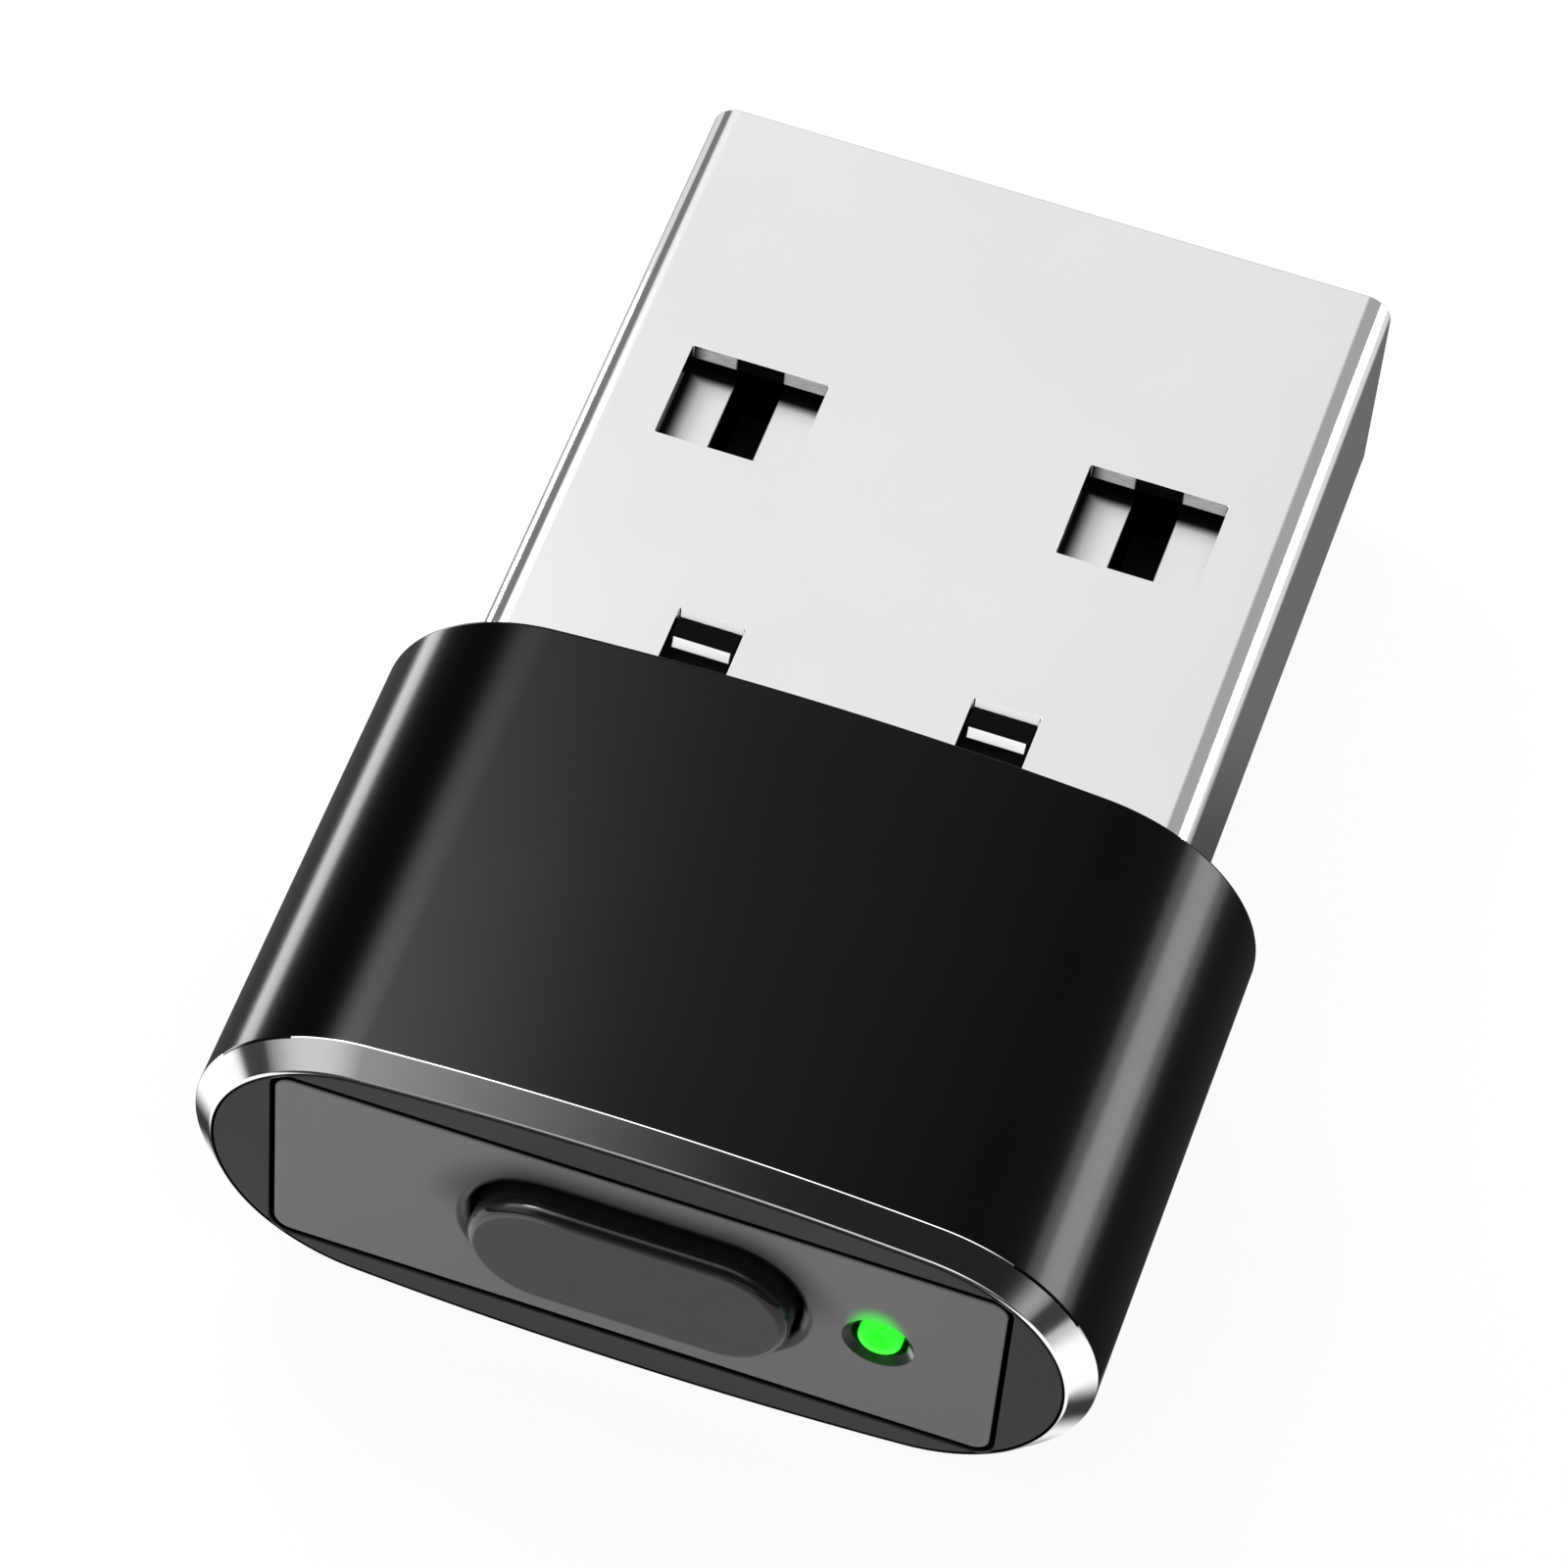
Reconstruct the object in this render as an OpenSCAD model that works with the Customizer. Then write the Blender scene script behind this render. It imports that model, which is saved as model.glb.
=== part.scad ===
// Mouse jiggler: a plug-in dongle with an oval metal casing, a push button and a status light.
// The plug points along +Y, the button faces -Y and +Z is up. The origin is the centre of the
// plug where it leaves the casing. Depth is measured from there towards the button.

/* [Casing] */
// Width across the round ends
casing_w = 14.85; // [14.8:0.05:18]
// Height over the crown
casing_h = 6.6; // [6.5:0.05:9]
// Length from the shoulder round the plug to the button end
casing_l = 9; // [8.9:0.1:14]
// Wall of the sleeve
casing_wall = 0.43; // [0.36:0.01:0.45]
// Thickness of the closed shoulder round the plug
shoulder_t = 0.8; // [0.5:0.05:1]
// How far the crown stands above the round ends
crown_rise = 0.21; // [0.16:0.01:0.25]
// Length of the cut chamfer at the mouth
chamfer_l = 0.4; // [0.2:0.05:0.8]
// Flat rim that the chamfer leaves at the mouth
mouth_land = 0.03; // [0.02:0.01:0.1]
// Small broken edge round the shoulder
shoulder_edge = 0.08; // [0.04:0.01:0.15]

/* [Button end] */
// Thickness of the end frame
frame_t = 1.5; // [1.2:0.05:2]
// How far the face plate stays inside the casing's round ends
plate_side = 1.465; // [1.455:0.01:2]
// How far the face plate stays inside the casing's crown
plate_crown = 1.2; // [1.18:0.01:1.5]
// Thickness of the face plate
plate_t = 0.75; // [0.6:0.05:0.9]
// Corner radius of the face plate
plate_corner_r = 0.3; // [0.25:0.05:0.6]
// Gap round the face plate
plate_gap = 0.05; // [0.04:0.01:0.06]
// Distance from the casing's round ends to the centres of the button's end radii
button_side = 5.995; // [5.925:0.01:6.325]
// End radius of the button
button_r = 1.22; // [1:0.01:1.25]
// How far the button stands out of the casing
button_out = 0.41; // [0.35:0.01:0.6]
// Radius of the rounded edge on the button
button_round = 0.18; // [0.1:0.01:0.3]
// Running gap round the button
button_gap = 0.07; // [0.04:0.01:0.1]
// Radius of the rounded lip round the button's opening
lip_r = 0.21; // [0.1:0.01:0.3]
// How far the button travels
button_travel = 0.25; // [0.15:0.01:0.3]
// Thickness of the button's retaining flange
flange_t = 0.45; // [0.3:0.05:0.5]
// How far the flange reaches past the button
flange_out = 0.28; // [0.2:0.01:0.3]
// Length of the pusher behind the button
pusher_l = 0.25; // [0.2:0.01:0.3]
// Radius of the pusher
pusher_r = 0.8; // [0.5:0.05:1]
// Distance from the casing's round end to the light
light_side = 3.435; // [3.125:0.01:3.525]
// Radius of the light pipe
light_r = 0.45; // [0.35:0.01:0.5]
// Radius of the countersink round the light
light_mouth_r = 0.57; // [0.54:0.01:0.8]
// How far the lens lies below the face
lens_depth = 0.12; // [0.08:0.01:0.25]

/* [Plug] */
// Width of the plug shell
plug_w = 12; // [11.9:0.02:12.06]
// Height of the plug shell
plug_h = 4.5; // [4.4:0.02:4.54]
// Length of the plug outside the casing
plug_l = 12.1; // [11.75:0.05:13]
// Sheet thickness of the shell
sheet_t = 0.3; // [0.25:0.01:0.32]
// Outer corner radius of the shell
plug_corner_r = 0.45; // [0.4:0.01:0.6]
// Gap between the shell and the casing's shoulder
port_gap = 0.03; // [0.02:0.005:0.04]
// Width of the latch windows
window_w = 2.38; // [2:0.02:2.6]
// Length of the latch windows
window_l = 1.95; // [1.6:0.05:2.3]
// Distance of the latch windows from the middle
window_x = 3.46; // [3.2:0.02:3.6]
// Distance from the plug's tip to the latch windows
window_from_tip = 5.16; // [4.9:0.02:5.6]
// Width of the rear notches
notch_w = 1.14; // [0.9:0.02:1.4]
// Distance of the rear notches from the middle
notch_x = 2.5; // [2.2:0.02:2.9]
// How far the rear notches show past the casing
notch_out = 1.71; // [1.4:0.01:2]
// How far the rear notches reach into the casing
notch_in = 0.35; // [0.2:0.05:0.6]
// Depth that the board and its chassis take between the shell and the end frame
pack_l = 4.9; // [4.8:0.05:5.2]
// Length of the shell's solder legs
leg_l = 1.6; // [1.2:0.05:1.7]
// Height of the shell's solder legs
leg_h = 1; // [0.7:0.05:1.2]
// Width of the seam under the shell
seam_w = 0.05; // [0.03:0.01:0.08]

/* [Tongue and contacts] */
// Clear height of the plug's mouth
mouth_h = 1.95; // [1.9:0.01:2]
// How far the tongue stays behind the tip
tongue_back = 0.35; // [0.2:0.05:0.6]
// Clearance between the tongue and the shell
tongue_gap = 0.03; // [0.02:0.005:0.05]
// Depth of the relief under each latch window
relief_depth = 0.26; // [0.15:0.01:0.5]
// Width of the slot behind each outer contact
slot_w = 0.78; // [0.5:0.02:1]
// Thickness of the tongue's root in the chassis
root_t = 1; // [0.6:0.05:1.2]
// Length of the tongue's root
root_l = 3.2; // [2:0.1:3.3]
// Width of the contacts
contact_w = 0.8; // [0.6:0.02:1]
// Thickness of the contacts
contact_t = 0.2; // [0.15:0.01:0.25]
// How far the contacts stand proud of the tongue
contact_proud = 0.03; // [0.02:0.005:0.05]
// Distance of the outer contacts from the middle
outer_x = 3.46; // [3.3:0.02:3.6]
// Distance of the inner contacts from the middle
inner_x = 1; // [0.9:0.02:1.1]
// Distance from the tip to the outer contacts
outer_from_tip = 1.2; // [1:0.05:1.5]
// How much further back the inner contacts start
inner_step = 1; // [0.8:0.05:1.2]
// Length of the contacts' solder feet
foot_l = 0.85; // [0.6:0.05:0.95]

/* [Chassis] */
// How far the chassis block reaches forward inside the shell
block_out = 2.6; // [2.3:0.05:3]
// Thickness of the bulkhead behind the shell
bulkhead_t = 0.65; // [0.4:0.05:0.65]
// Sliding clearance between the chassis and the casing
slide_gap = 0.04; // [0.03:0.01:0.06]
// Width of the rails, from the casing's round ends inwards
rail_w = 2.125; // [1.925:0.02:2.225]
// Length of the locking nubs in the notches
nub_l = 0.5; // [0.35:0.01:0.7]
// How far the locking nubs stay below the shell's face
nub_below = 0.05; // [0.02:0.01:0.1]

/* [Circuit board] */
// Thickness of the board
board_t = 0.8; // [0.6:0.05:0.85]
// How far the board stays inside the casing's round ends
board_side = 1.545; // [1.425:0.01:1.625]
// Clearance between the button's flange and the recess in the board
board_notch_clear = 0.22; // [0.12:0.01:0.25]
// Clearance between the pressed button and the board
board_clear = 0.2; // [0.1:0.01:0.25]
// Side of the controller
controller_side = 2.8; // [2:0.1:2.8]
// Clearance between the controller and the casing's wall
controller_clear = 0.3; // [0.28:0.01:0.43]
// Contact pads on each side of the controller
controller_pads_n = 4; // [2:1:5]
// Length of a chip capacitor or resistor
chip_l = 1; // [0.8:0.05:1.1]
// Width of a chip capacitor or resistor
chip_w = 0.5; // [0.4:0.02:0.6]
// Thickness of a chip capacitor
capacitor_t = 0.45; // [0.3:0.01:0.5]
// Thickness of a chip resistor
resistor_t = 0.33; // [0.2:0.01:0.4]
// Clearance of the crystal between the switch and the rail
crystal_clear = 0.375; // [0.35:0.01:0.525]
// Length of the crystal's can
crystal_l = 2.4; // [2:0.05:2.5]
// Height of the crystal's can
crystal_h = 0.6; // [0.5:0.05:0.9]

/* [Switch] */
// Width of the tactile switch
switch_w = 4.4; // [4.2:0.05:4.6]
// Height of the tactile switch
switch_h = 2; // [1.8:0.05:2]
// Depth of the switch's moulded base
switch_base_l = 1.2; // [1.1:0.05:1.2]
// Sheet thickness of the switch's cover
cover_t = 0.15; // [0.1:0.01:0.18]
// How far the plunger stands out of the cover
plunger_out = 0.5; // [0.35:0.01:0.55]
// Width of the plunger's stem
plunger_w = 1.8; // [1.4:0.05:2]
// Height of the plunger's stem
plunger_h = 1; // [0.8:0.02:1.05]
// Radius of the snap dome
dome_r = 0.7; // [0.55:0.01:0.72]
// Thickness of the snap dome
dome_t = 0.06; // [0.04:0.01:0.08]

/* [Hidden] */
$fn = 96;
over = 1;          // how far a cut runs past the face it opens
fine = 0.02;       // play between small pieces that only just clear each other
seat = 0.05;       // assembly play between pieces stacked along the depth

// Four-centre oval of the casing: two end arcs and two crown arcs that meet tangentially.
half_w = casing_w / 2;
half_h = casing_h / 2;
end_r = half_h - crown_rise;
end_c = half_w - end_r;
crown_r = (pow(end_c, 2) + pow(half_h, 2) - pow(end_r, 2)) / (2 * crown_rise);
crown_d = crown_r - half_h;
crown_a = atan2(end_c, crown_d);
chamfer_in = casing_wall - mouth_land;
slide_in = casing_wall + slide_gap;
plate_w = casing_w - 2 * plate_side;
plate_h = casing_h - 2 * plate_crown;
rail_x = half_w - rail_w;
board_half_w = half_w - board_side;
button_half_l = half_w - button_side;
light_x = half_w - light_side;
board_notch_half = button_half_l + button_r + flange_out + board_notch_clear;

// Depths from the shoulder, counted back from the button end.
frame_back = casing_l - frame_t;
pocket_floor = casing_l - plate_t;
button_face = casing_l + button_out;
flange_front = frame_back - fine;
flange_back = flange_front - flange_t;
pusher_tip = flange_back - pusher_l;
plunger_tip = pusher_tip - fine;
cover_front = plunger_tip - plunger_out;
base_front = cover_front - cover_t;
base_back = base_front - switch_base_l;
plunger_flange_t = 0.2;
plunger_pocket = plunger_flange_t + button_travel + seat;
dome_rise = 0.36;
dome_floor = base_front - plunger_pocket - dome_rise - fine;
dome_seat_r = dome_r + seat;
plunger_nub_r = 0.35;
plunger_flange = 0.18;
pocket_reach = plunger_flange + fine * 2;
tab_short = 0.3;

// The board's pack keeps its length, and the shell fills what is left of the casing.
shell_in = frame_back - pack_l;
bulkhead_front = shell_in + seat;
bulkhead_back = bulkhead_front + bulkhead_t;
board_front = bulkhead_back + seat;
board_mid_end = flange_back - button_travel - board_clear;
board_tab_end = frame_back - tab_short;
rail_end = flange_back - fine;

// Heights. The switch sits on the board with its plunger on the button's axis.
board_top = -switch_h / 2;
board_bottom = board_top - board_t;
leg_over = 0.45;
leg_top = board_top + leg_over;
inner_h = plug_h / 2 - sheet_t;
inner_w = plug_w / 2 - sheet_t;
inner_r = plug_corner_r - sheet_t;
tongue_top = inner_h - tongue_gap;
tongue_under = inner_h - mouth_h;
contact_low = tongue_under - contact_proud;
contact_high = contact_low + contact_t;
standoff = 0.04;
controller_t = half_h - casing_wall - controller_clear + board_bottom - standoff;

// Small parts on the board, as [x, depth] of their centres.
pad_edge = 0.07;
controller_at = [0, board_mid_end - pad_edge - controller_side / 2];
chip_beside = 0.9;
chip_ahead = 0.95;
chip_step = 1.4;
chip_x = controller_side / 2 + chip_beside;
chip_near = board_front + chip_ahead;
chip_far = chip_near + chip_step;
capacitors_at = [[-chip_x, chip_near], [-chip_x, chip_far], [chip_x, chip_near]];
resistors_low_at = [[chip_x, chip_far]];
led_resistor_beside = 1.2;
led_resistor_ahead = 2.05;
resistors_top_at = [[switch_w / 2 + led_resistor_beside, board_front + led_resistor_ahead]];
crystal_edge = 0.15;
tab_reach = 0.45;
switch_reach = switch_w / 2 + tab_reach;
crystal_w = rail_x - switch_reach - 2 * crystal_clear;
crystal_at = [-(rail_x + switch_reach) / 2, board_tab_end - crystal_edge - crystal_l / 2];
led_w = 1.4;
led_l = 0.65;
led_h = 0.7;
led_back = 0.38;
led_front = frame_back - led_back;
chip_end = 0.22;

// Turns a shape drawn across X and height, and raised along depth, to face the button end.
module facing() {
  rotate([90, 0, 0]) children();
}

// A [low, high] pair around a middle, and one that runs on from a start.
function around(middle, size) = [middle - size / 2, middle + size / 2];
function onward(start, length) = [start, start + length];

// A box given as [low, high] pairs across X, height and depth.
module block(x, z, d) {
  translate([x[0], z[0], d[0]]) cube([x[1] - x[0], z[1] - z[0], d[1] - d[0]]);
}

// A flat shape drawn as [height, depth] and raised across X, centred on x.
module side_cut(x, w) {
  translate([x - w / 2, 0, 0]) rotate([90, 0, 90]) linear_extrude(w) children();
}

// The casing's oval, moved inwards.
module oval_2d(inset) {
  reach = 2 * casing_h;
  lean = [reach * sin(crown_a), reach * cos(crown_a)];
  intersection() {
    translate([0, -crown_d]) circle(crown_r - inset, $fn = 720);
    translate([0, crown_d]) circle(crown_r - inset, $fn = 720);
    polygon([[end_c, 0], [end_c + lean[0], lean[1]], [-end_c - lean[0], lean[1]], [-end_c, 0],
      [-end_c - lean[0], -lean[1]], [end_c + lean[0], -lean[1]]]);
  }
  for (side = [0, 1]) mirror([side, 0]) intersection() {
    translate([end_c, 0]) circle(end_r - inset);
    polygon([[end_c, 0], [end_c + lean[0], lean[1]], [end_c + reach, lean[1]],
      [end_c + reach, -lean[1]], [end_c + lean[0], -lean[1]]]);
  }
}

// A wall section of [inset, depth] points, carried round the oval as four arcs.
module oval_wall(section) {
  lap = 0.5;
  for (side = [0, 1]) mirror([side, 0, 0]) translate([end_c, 0, 0])
    rotate_extrude(angle = 180 - 2 * crown_a + 2 * lap, start = crown_a - 90 - lap)
      polygon([for (p = section) [end_r - p[0], p[1]]]);
  for (side = [0, 1]) mirror([0, side, 0]) translate([0, -crown_d, 0])
    rotate_extrude(angle = 2 * crown_a, start = 90 - crown_a, $fn = 720)
      polygon([for (p = section) [crown_r - p[0], p[1]]]);
}

// A rectangle with round corners.
module rounded_2d(w, h, r) {
  square([w - 2 * r, h], center = true);
  square([w, h - 2 * r], center = true);
  for (i = [0, 1], j = [0, 1]) mirror([i, 0]) mirror([0, j]) translate([w / 2 - r, h / 2 - r])
    intersection() {
      circle(r);
      square(r);
    }
}

// A section of [radius, depth] points, carried round a stadium.
module stadium_turn(half_l, section) {
  for (side = [0, 1]) mirror([side, 0, 0]) translate([half_l, 0, 0])
    rotate_extrude(angle = 180, start = -90) polygon(section);
  for (side = [0, 1]) mirror([0, side, 0]) translate([-half_l, 0, 0])
    rotate([90, 0, 90]) linear_extrude(2 * half_l) polygon(section);
}

function arc(centre, r, from, to, steps = 6) =
  [for (i = [0:steps]) centre + r * [cos(from + (to - from) * i / steps), sin(from + (to - from) * i / steps)]];

module casing() {
  color("#1c1c1f") facing() difference() {
    union() {
      oval_wall([[shoulder_edge, 0], [0, shoulder_edge], [0, casing_l - chamfer_l],
        [chamfer_in, casing_l], [casing_wall, casing_l], [casing_wall, 0]]);
      linear_extrude(shoulder_t) oval_2d(casing_wall / 2);
    }
    translate([0, 0, -over]) linear_extrude(shoulder_t + 2 * over)
      rounded_2d(plug_w + 2 * port_gap, plug_h + 2 * port_gap, plug_corner_r + port_gap);
  }
}

// Moulded end cap that fills the casing's mouth and holds the face plate in a pocket.
module end_frame() {
  pad_low = 0.35;
  pad_h = [board_top + pad_low, half_h / 2];
  color("#3e3f41") facing() difference() {
    union() {
      translate([0, 0, frame_back]) linear_extrude(frame_t) oval_2d(casing_wall + fine);
      intersection() {
        translate([0, 0, rail_end]) linear_extrude(frame_back - rail_end + over / 2) oval_2d(slide_in);
        for (side = [0, 1]) mirror([side, 0, 0])
          block([rail_x, half_w], pad_h, [rail_end, frame_back + over / 2]);
      }
    }
    translate([0, 0, pocket_floor]) linear_extrude(plate_t + over)
      rounded_2d(plate_w + 2 * plate_gap, plate_h + 2 * plate_gap, plate_corner_r + plate_gap);
    stadium_turn(button_half_l, [[0, frame_back - over], [button_r + button_gap, frame_back - over],
      [button_r + button_gap, casing_l], [0, casing_l]]);
    translate([light_x, 0, frame_back - over]) cylinder(h = frame_t + over, r = light_r + fine);
  }
}

// Rectangular face plate with a soft-lipped opening for the button and a countersunk light hole.
module face_plate() {
  hole_r = button_r + button_gap;
  color("#6e6f71") facing() difference() {
    translate([0, 0, pocket_floor]) linear_extrude(plate_t) rounded_2d(plate_w, plate_h, plate_corner_r);
    stadium_turn(button_half_l, concat([[0, pocket_floor - over], [hole_r, pocket_floor - over]],
      arc([hole_r + lip_r, casing_l - lip_r], lip_r, 180, 90),
      [[hole_r + lip_r, casing_l + over], [0, casing_l + over]]));
    translate([light_x, 0, pocket_floor - over]) cylinder(h = plate_t + 2 * over, r = light_r + fine);
    translate([light_x, 0, casing_l - lens_depth])
      cylinder(h = lens_depth + fine, r1 = light_r + fine, r2 = light_mouth_r + fine);
  }
}

// Push button with a rounded edge, a retaining flange and a pusher for the switch.
module button_cap() {
  color("#333436") facing() {
    stadium_turn(button_half_l, concat([[0, flange_back], [button_r + flange_out, flange_back],
      [button_r + flange_out, flange_front], [button_r, flange_front]],
      arc([button_r - button_round, button_face - button_round], button_round, 0, 90),
      [[0, button_face]]));
    translate([0, 0, pusher_tip]) cylinder(h = pusher_l + fine, r = pusher_r);
  }
}

// Clear rod with a domed lens, and a foot that gathers the light of the chip below its axis.
module light_pipe() {
  lens_face = casing_l - lens_depth;
  dome = 0.08;
  foot_t = 0.3;
  foot_w = 1.2;
  foot_over = 0.1;
  foot_end = flange_front;
  color("#2bd54a") facing() {
    translate([light_x, 0, 0]) rotate_extrude() polygon(concat([[0, foot_end - foot_t]],
      [[light_r, foot_end - foot_t], [light_r, lens_face - dome]],
      [for (a = [15:15:90]) [light_r * cos(a), lens_face - dome + dome * sin(a)]]));
    block(around(light_x, foot_w), [board_top + fine, light_r + foot_over], [foot_end - foot_t, foot_end]);
  }
}

// Folded sheet shell with latch windows, rear notches, two solder legs and a seam underneath.
module plug_shell() {
  color("#dcdcdc") facing() difference() {
    union() {
      translate([0, 0, -plug_l]) linear_extrude(plug_l + shell_in) rounded_2d(plug_w, plug_h, plug_corner_r);
      for (side = [0, 1]) mirror([side, 0, 0])
        block([inner_w, plug_w / 2], [leg_top - leg_h, leg_top], [shell_in - over / 2, shell_in + leg_l]);
    }
    translate([0, 0, -plug_l - over]) linear_extrude(plug_l + shell_in + leg_l + 2 * over)
      rounded_2d(2 * inner_w, 2 * inner_h, inner_r);
    for (side = [-1, 1], z = [-plug_h, 0]) {
      block(around(side * window_x, window_w), onward(z, plug_h), onward(window_from_tip - plug_l, window_l));
      block(around(side * notch_x, notch_w), onward(z, plug_h), [-notch_out, notch_in]);
    }
    shell_seam();
  }
}

// The seam runs along the middle of the underside and steps round one dovetail key.
module shell_seam() {
  key_d = -plug_l / 2;
  key_l = 1.6;
  key_out = 1.1;
  key_lean = 0.3;
  bend = [[0, -plug_l - over], [0, key_d - key_l / 2], [key_out, key_d - key_l / 2 - key_lean],
    [key_out, key_d + key_l / 2 + key_lean], [0, key_d + key_l / 2], [0, shell_in + over]];
  for (i = [0:len(bend) - 2]) {
    run = bend[i + 1] - bend[i];
    translate([bend[i][0], -plug_h, bend[i][1]]) rotate([0, atan2(run[0], run[1]), 0])
      translate([-seam_w / 2, 0, -seam_w / 2]) cube([seam_w, plug_h, norm(run) + seam_w]);
  }
}

// Pale tongue: reliefs under the latch windows, slots behind the outer contacts, contact channels.
module plug_tongue() {
  front = tongue_back - plug_l;
  half_w = inner_w - tongue_gap;
  window_at = window_from_tip - plug_l;
  lead = 0.3;
  relief_side = 0.2;
  relief_ahead = 0.5;
  slot_behind = 0.8;
  root_w = 2 * (outer_x + contact_w);
  color("#f2f2f0") facing() difference() {
    union() {
      intersection() {
        side_cut(0, 2 * half_w) polygon([[tongue_under + lead, front], [tongue_top - lead / 2, front],
          [tongue_top, front + lead / 2], [tongue_top, -block_out], [tongue_under, -block_out],
          [tongue_under, front + lead]]);
        translate([0, 0, front - over]) linear_extrude(plug_l) rounded_2d(2 * half_w, 2 * tongue_top, inner_r);
      }
      block(around(0, root_w), onward(contact_high, root_t), [-block_out - over / 2, root_l - block_out]);
    }
    for (side = [-1, 1]) {
      block(around(side * window_x, window_w + 2 * relief_side), [tongue_top - relief_depth, tongue_top + over],
        [window_at - relief_ahead, window_at + window_l + relief_side]);
      block(around(side * outer_x, slot_w), [contact_high, tongue_top + over],
        [window_at - relief_ahead, window_at + window_l + slot_behind]);
    }
    for (side = [-1, 1], pin = [[outer_x, 0], [inner_x, inner_step]])
      block(around(side * pin[0], contact_w + 2 * fine), [tongue_under - over, contact_high],
        [outer_from_tip + pin[1] - plug_l - fine, 0]);
  }
}

// A contact blade, drawn from the side: straight through the chassis, down to the board, and a foot.
module contact(x, start) {
  drop = board_front + seat;
  nose = 0.12;
  color("#c9a24a") facing() side_cut(x, contact_w)
    polygon([[contact_low + nose, start], [contact_high, start], [contact_high, drop + contact_t],
      [board_top + contact_t, drop + contact_t], [board_top + contact_t, drop + foot_l],
      [board_top, drop + foot_l], [board_top, drop], [contact_low, drop], [contact_low, start + 2 * nose]]);
}

module contact_power() {
  contact(outer_x, outer_from_tip - plug_l);
}

module contact_data_minus() {
  contact(inner_x, outer_from_tip + inner_step - plug_l);
}

module contact_data_plus() {
  contact(-inner_x, outer_from_tip + inner_step - plug_l);
}

module contact_ground() {
  contact(-outer_x, outer_from_tip - plug_l);
}

// Black moulding: the block inside the shell, the bulkhead behind it, ribs and the board's rails.
module chassis() {
  block_w = inner_w - tongue_gap;
  rib_w = 1.1;
  root_w = 2 * (outer_x + contact_w);
  color("#232325") facing() difference() {
    union() {
      translate([0, 0, -block_out]) linear_extrude(block_out + bulkhead_front + seat)
        rounded_2d(2 * block_w, 2 * tongue_top, inner_r);
      translate([0, 0, bulkhead_front]) linear_extrude(bulkhead_t) oval_2d(slide_in);
      intersection() {
        translate([0, 0, shoulder_t + seat]) linear_extrude(rail_end - shoulder_t - seat) oval_2d(slide_in);
        union() {
          for (i = [0, 1], j = [0, 1]) mirror([i, 0, 0]) mirror([0, j, 0])
            block(onward(1, rib_w), [plug_h / 2 + fine, half_h], [shoulder_t, bulkhead_front + seat]);
          for (i = [0, 1]) mirror([i, 0, 0]) {
            block([plug_w / 2 + fine, half_w], around(0, rib_w), [shoulder_t, bulkhead_front + seat]);
            block([rail_x, half_w], [-half_h, half_h], [bulkhead_back - seat, rail_end]);
          }
        }
      }
      for (side = [-1, 1]) locking_nub(side * notch_x);
    }
    block(around(0, root_w + 2 * fine), onward(contact_high, root_t + fine),
      [-block_out - over, root_l - block_out + fine]);
    for (x = [-outer_x, -inner_x, inner_x, outer_x])
      block(around(x, contact_w + 2 * fine), [contact_low - fine, contact_high + fine],
        [-block_out - over, bulkhead_back + over]);
    for (i = [0, 1]) mirror([i, 0, 0]) block([inner_w - fine, plug_w / 2 + fine],
      [leg_top - leg_h - fine, leg_top + fine], [bulkhead_front - seat, shell_in + leg_l + seat]);
    block([-board_half_w - fine, board_half_w + fine], [board_bottom - fine, board_top + fine],
      [bulkhead_back, rail_end + over]);
  }
}

// A nub that stands in a rear notch of the shell, ramped towards the tip.
module locking_nub(x) {
  rise = sheet_t + tongue_gap - nub_below;
  front = -notch_out + seat;
  ramp = 0.12;
  side_cut(x, notch_w - 4 * fine) polygon([[tongue_top - seat, front], [tongue_top, front],
    [tongue_top + rise - ramp, front], [tongue_top + rise, front + ramp],
    [tongue_top + rise, front + nub_l], [tongue_top, front + nub_l + ramp], [tongue_top - seat, front + nub_l + ramp]]);
}

module circuit_board() {
  leg_clear = 0.1;
  leg_room = shell_in + leg_l + leg_clear;
  color("#1e6b3a") facing() difference() {
    block([-board_half_w, board_half_w], [board_bottom, board_top], [board_front, board_tab_end]);
    block([-board_notch_half, board_notch_half], [board_bottom - over, board_top + over],
      [board_mid_end, board_tab_end + over]);
    for (i = [0, 1]) mirror([i, 0, 0]) block([inner_w - seat, half_w], [board_bottom - over, board_top + over],
      [board_front - over, leg_room]);
    for (side = [-1, 1]) switch_peg(side, over, seat);
  }
}

// A locating peg of the switch, or with play the hole it stands in.
module switch_peg(side, length, play = 0) {
  peg_r = 0.3;
  peg_side = 0.9;
  peg_ahead = 0.42;
  peg_x = switch_w / 2 - peg_side;
  peg_d = base_back + peg_ahead;
  translate([side * peg_x, board_top - length, peg_d]) rotate([-90, 0, 0])
    cylinder(h = length + (play > 0 ? over : fine), r = peg_r + play);
}

// Flat controller package under the board, with a dimple at its first pad.
module microcontroller() {
  dimple_in = 0.45;
  half = controller_side / 2 - dimple_in;
  low = board_bottom - standoff - controller_t;
  color("#202022") facing() difference() {
    translate([controller_at[0], low, controller_at[1]]) rotate([-90, 0, 0])
      linear_extrude(controller_t) rounded_2d(controller_side, controller_side, 0.08);
    translate([controller_at[0] - half, low - over, controller_at[1] - half])
      rotate([-90, 0, 0]) cylinder(h = over + 0.05, r = 0.18);
  }
}

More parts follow.
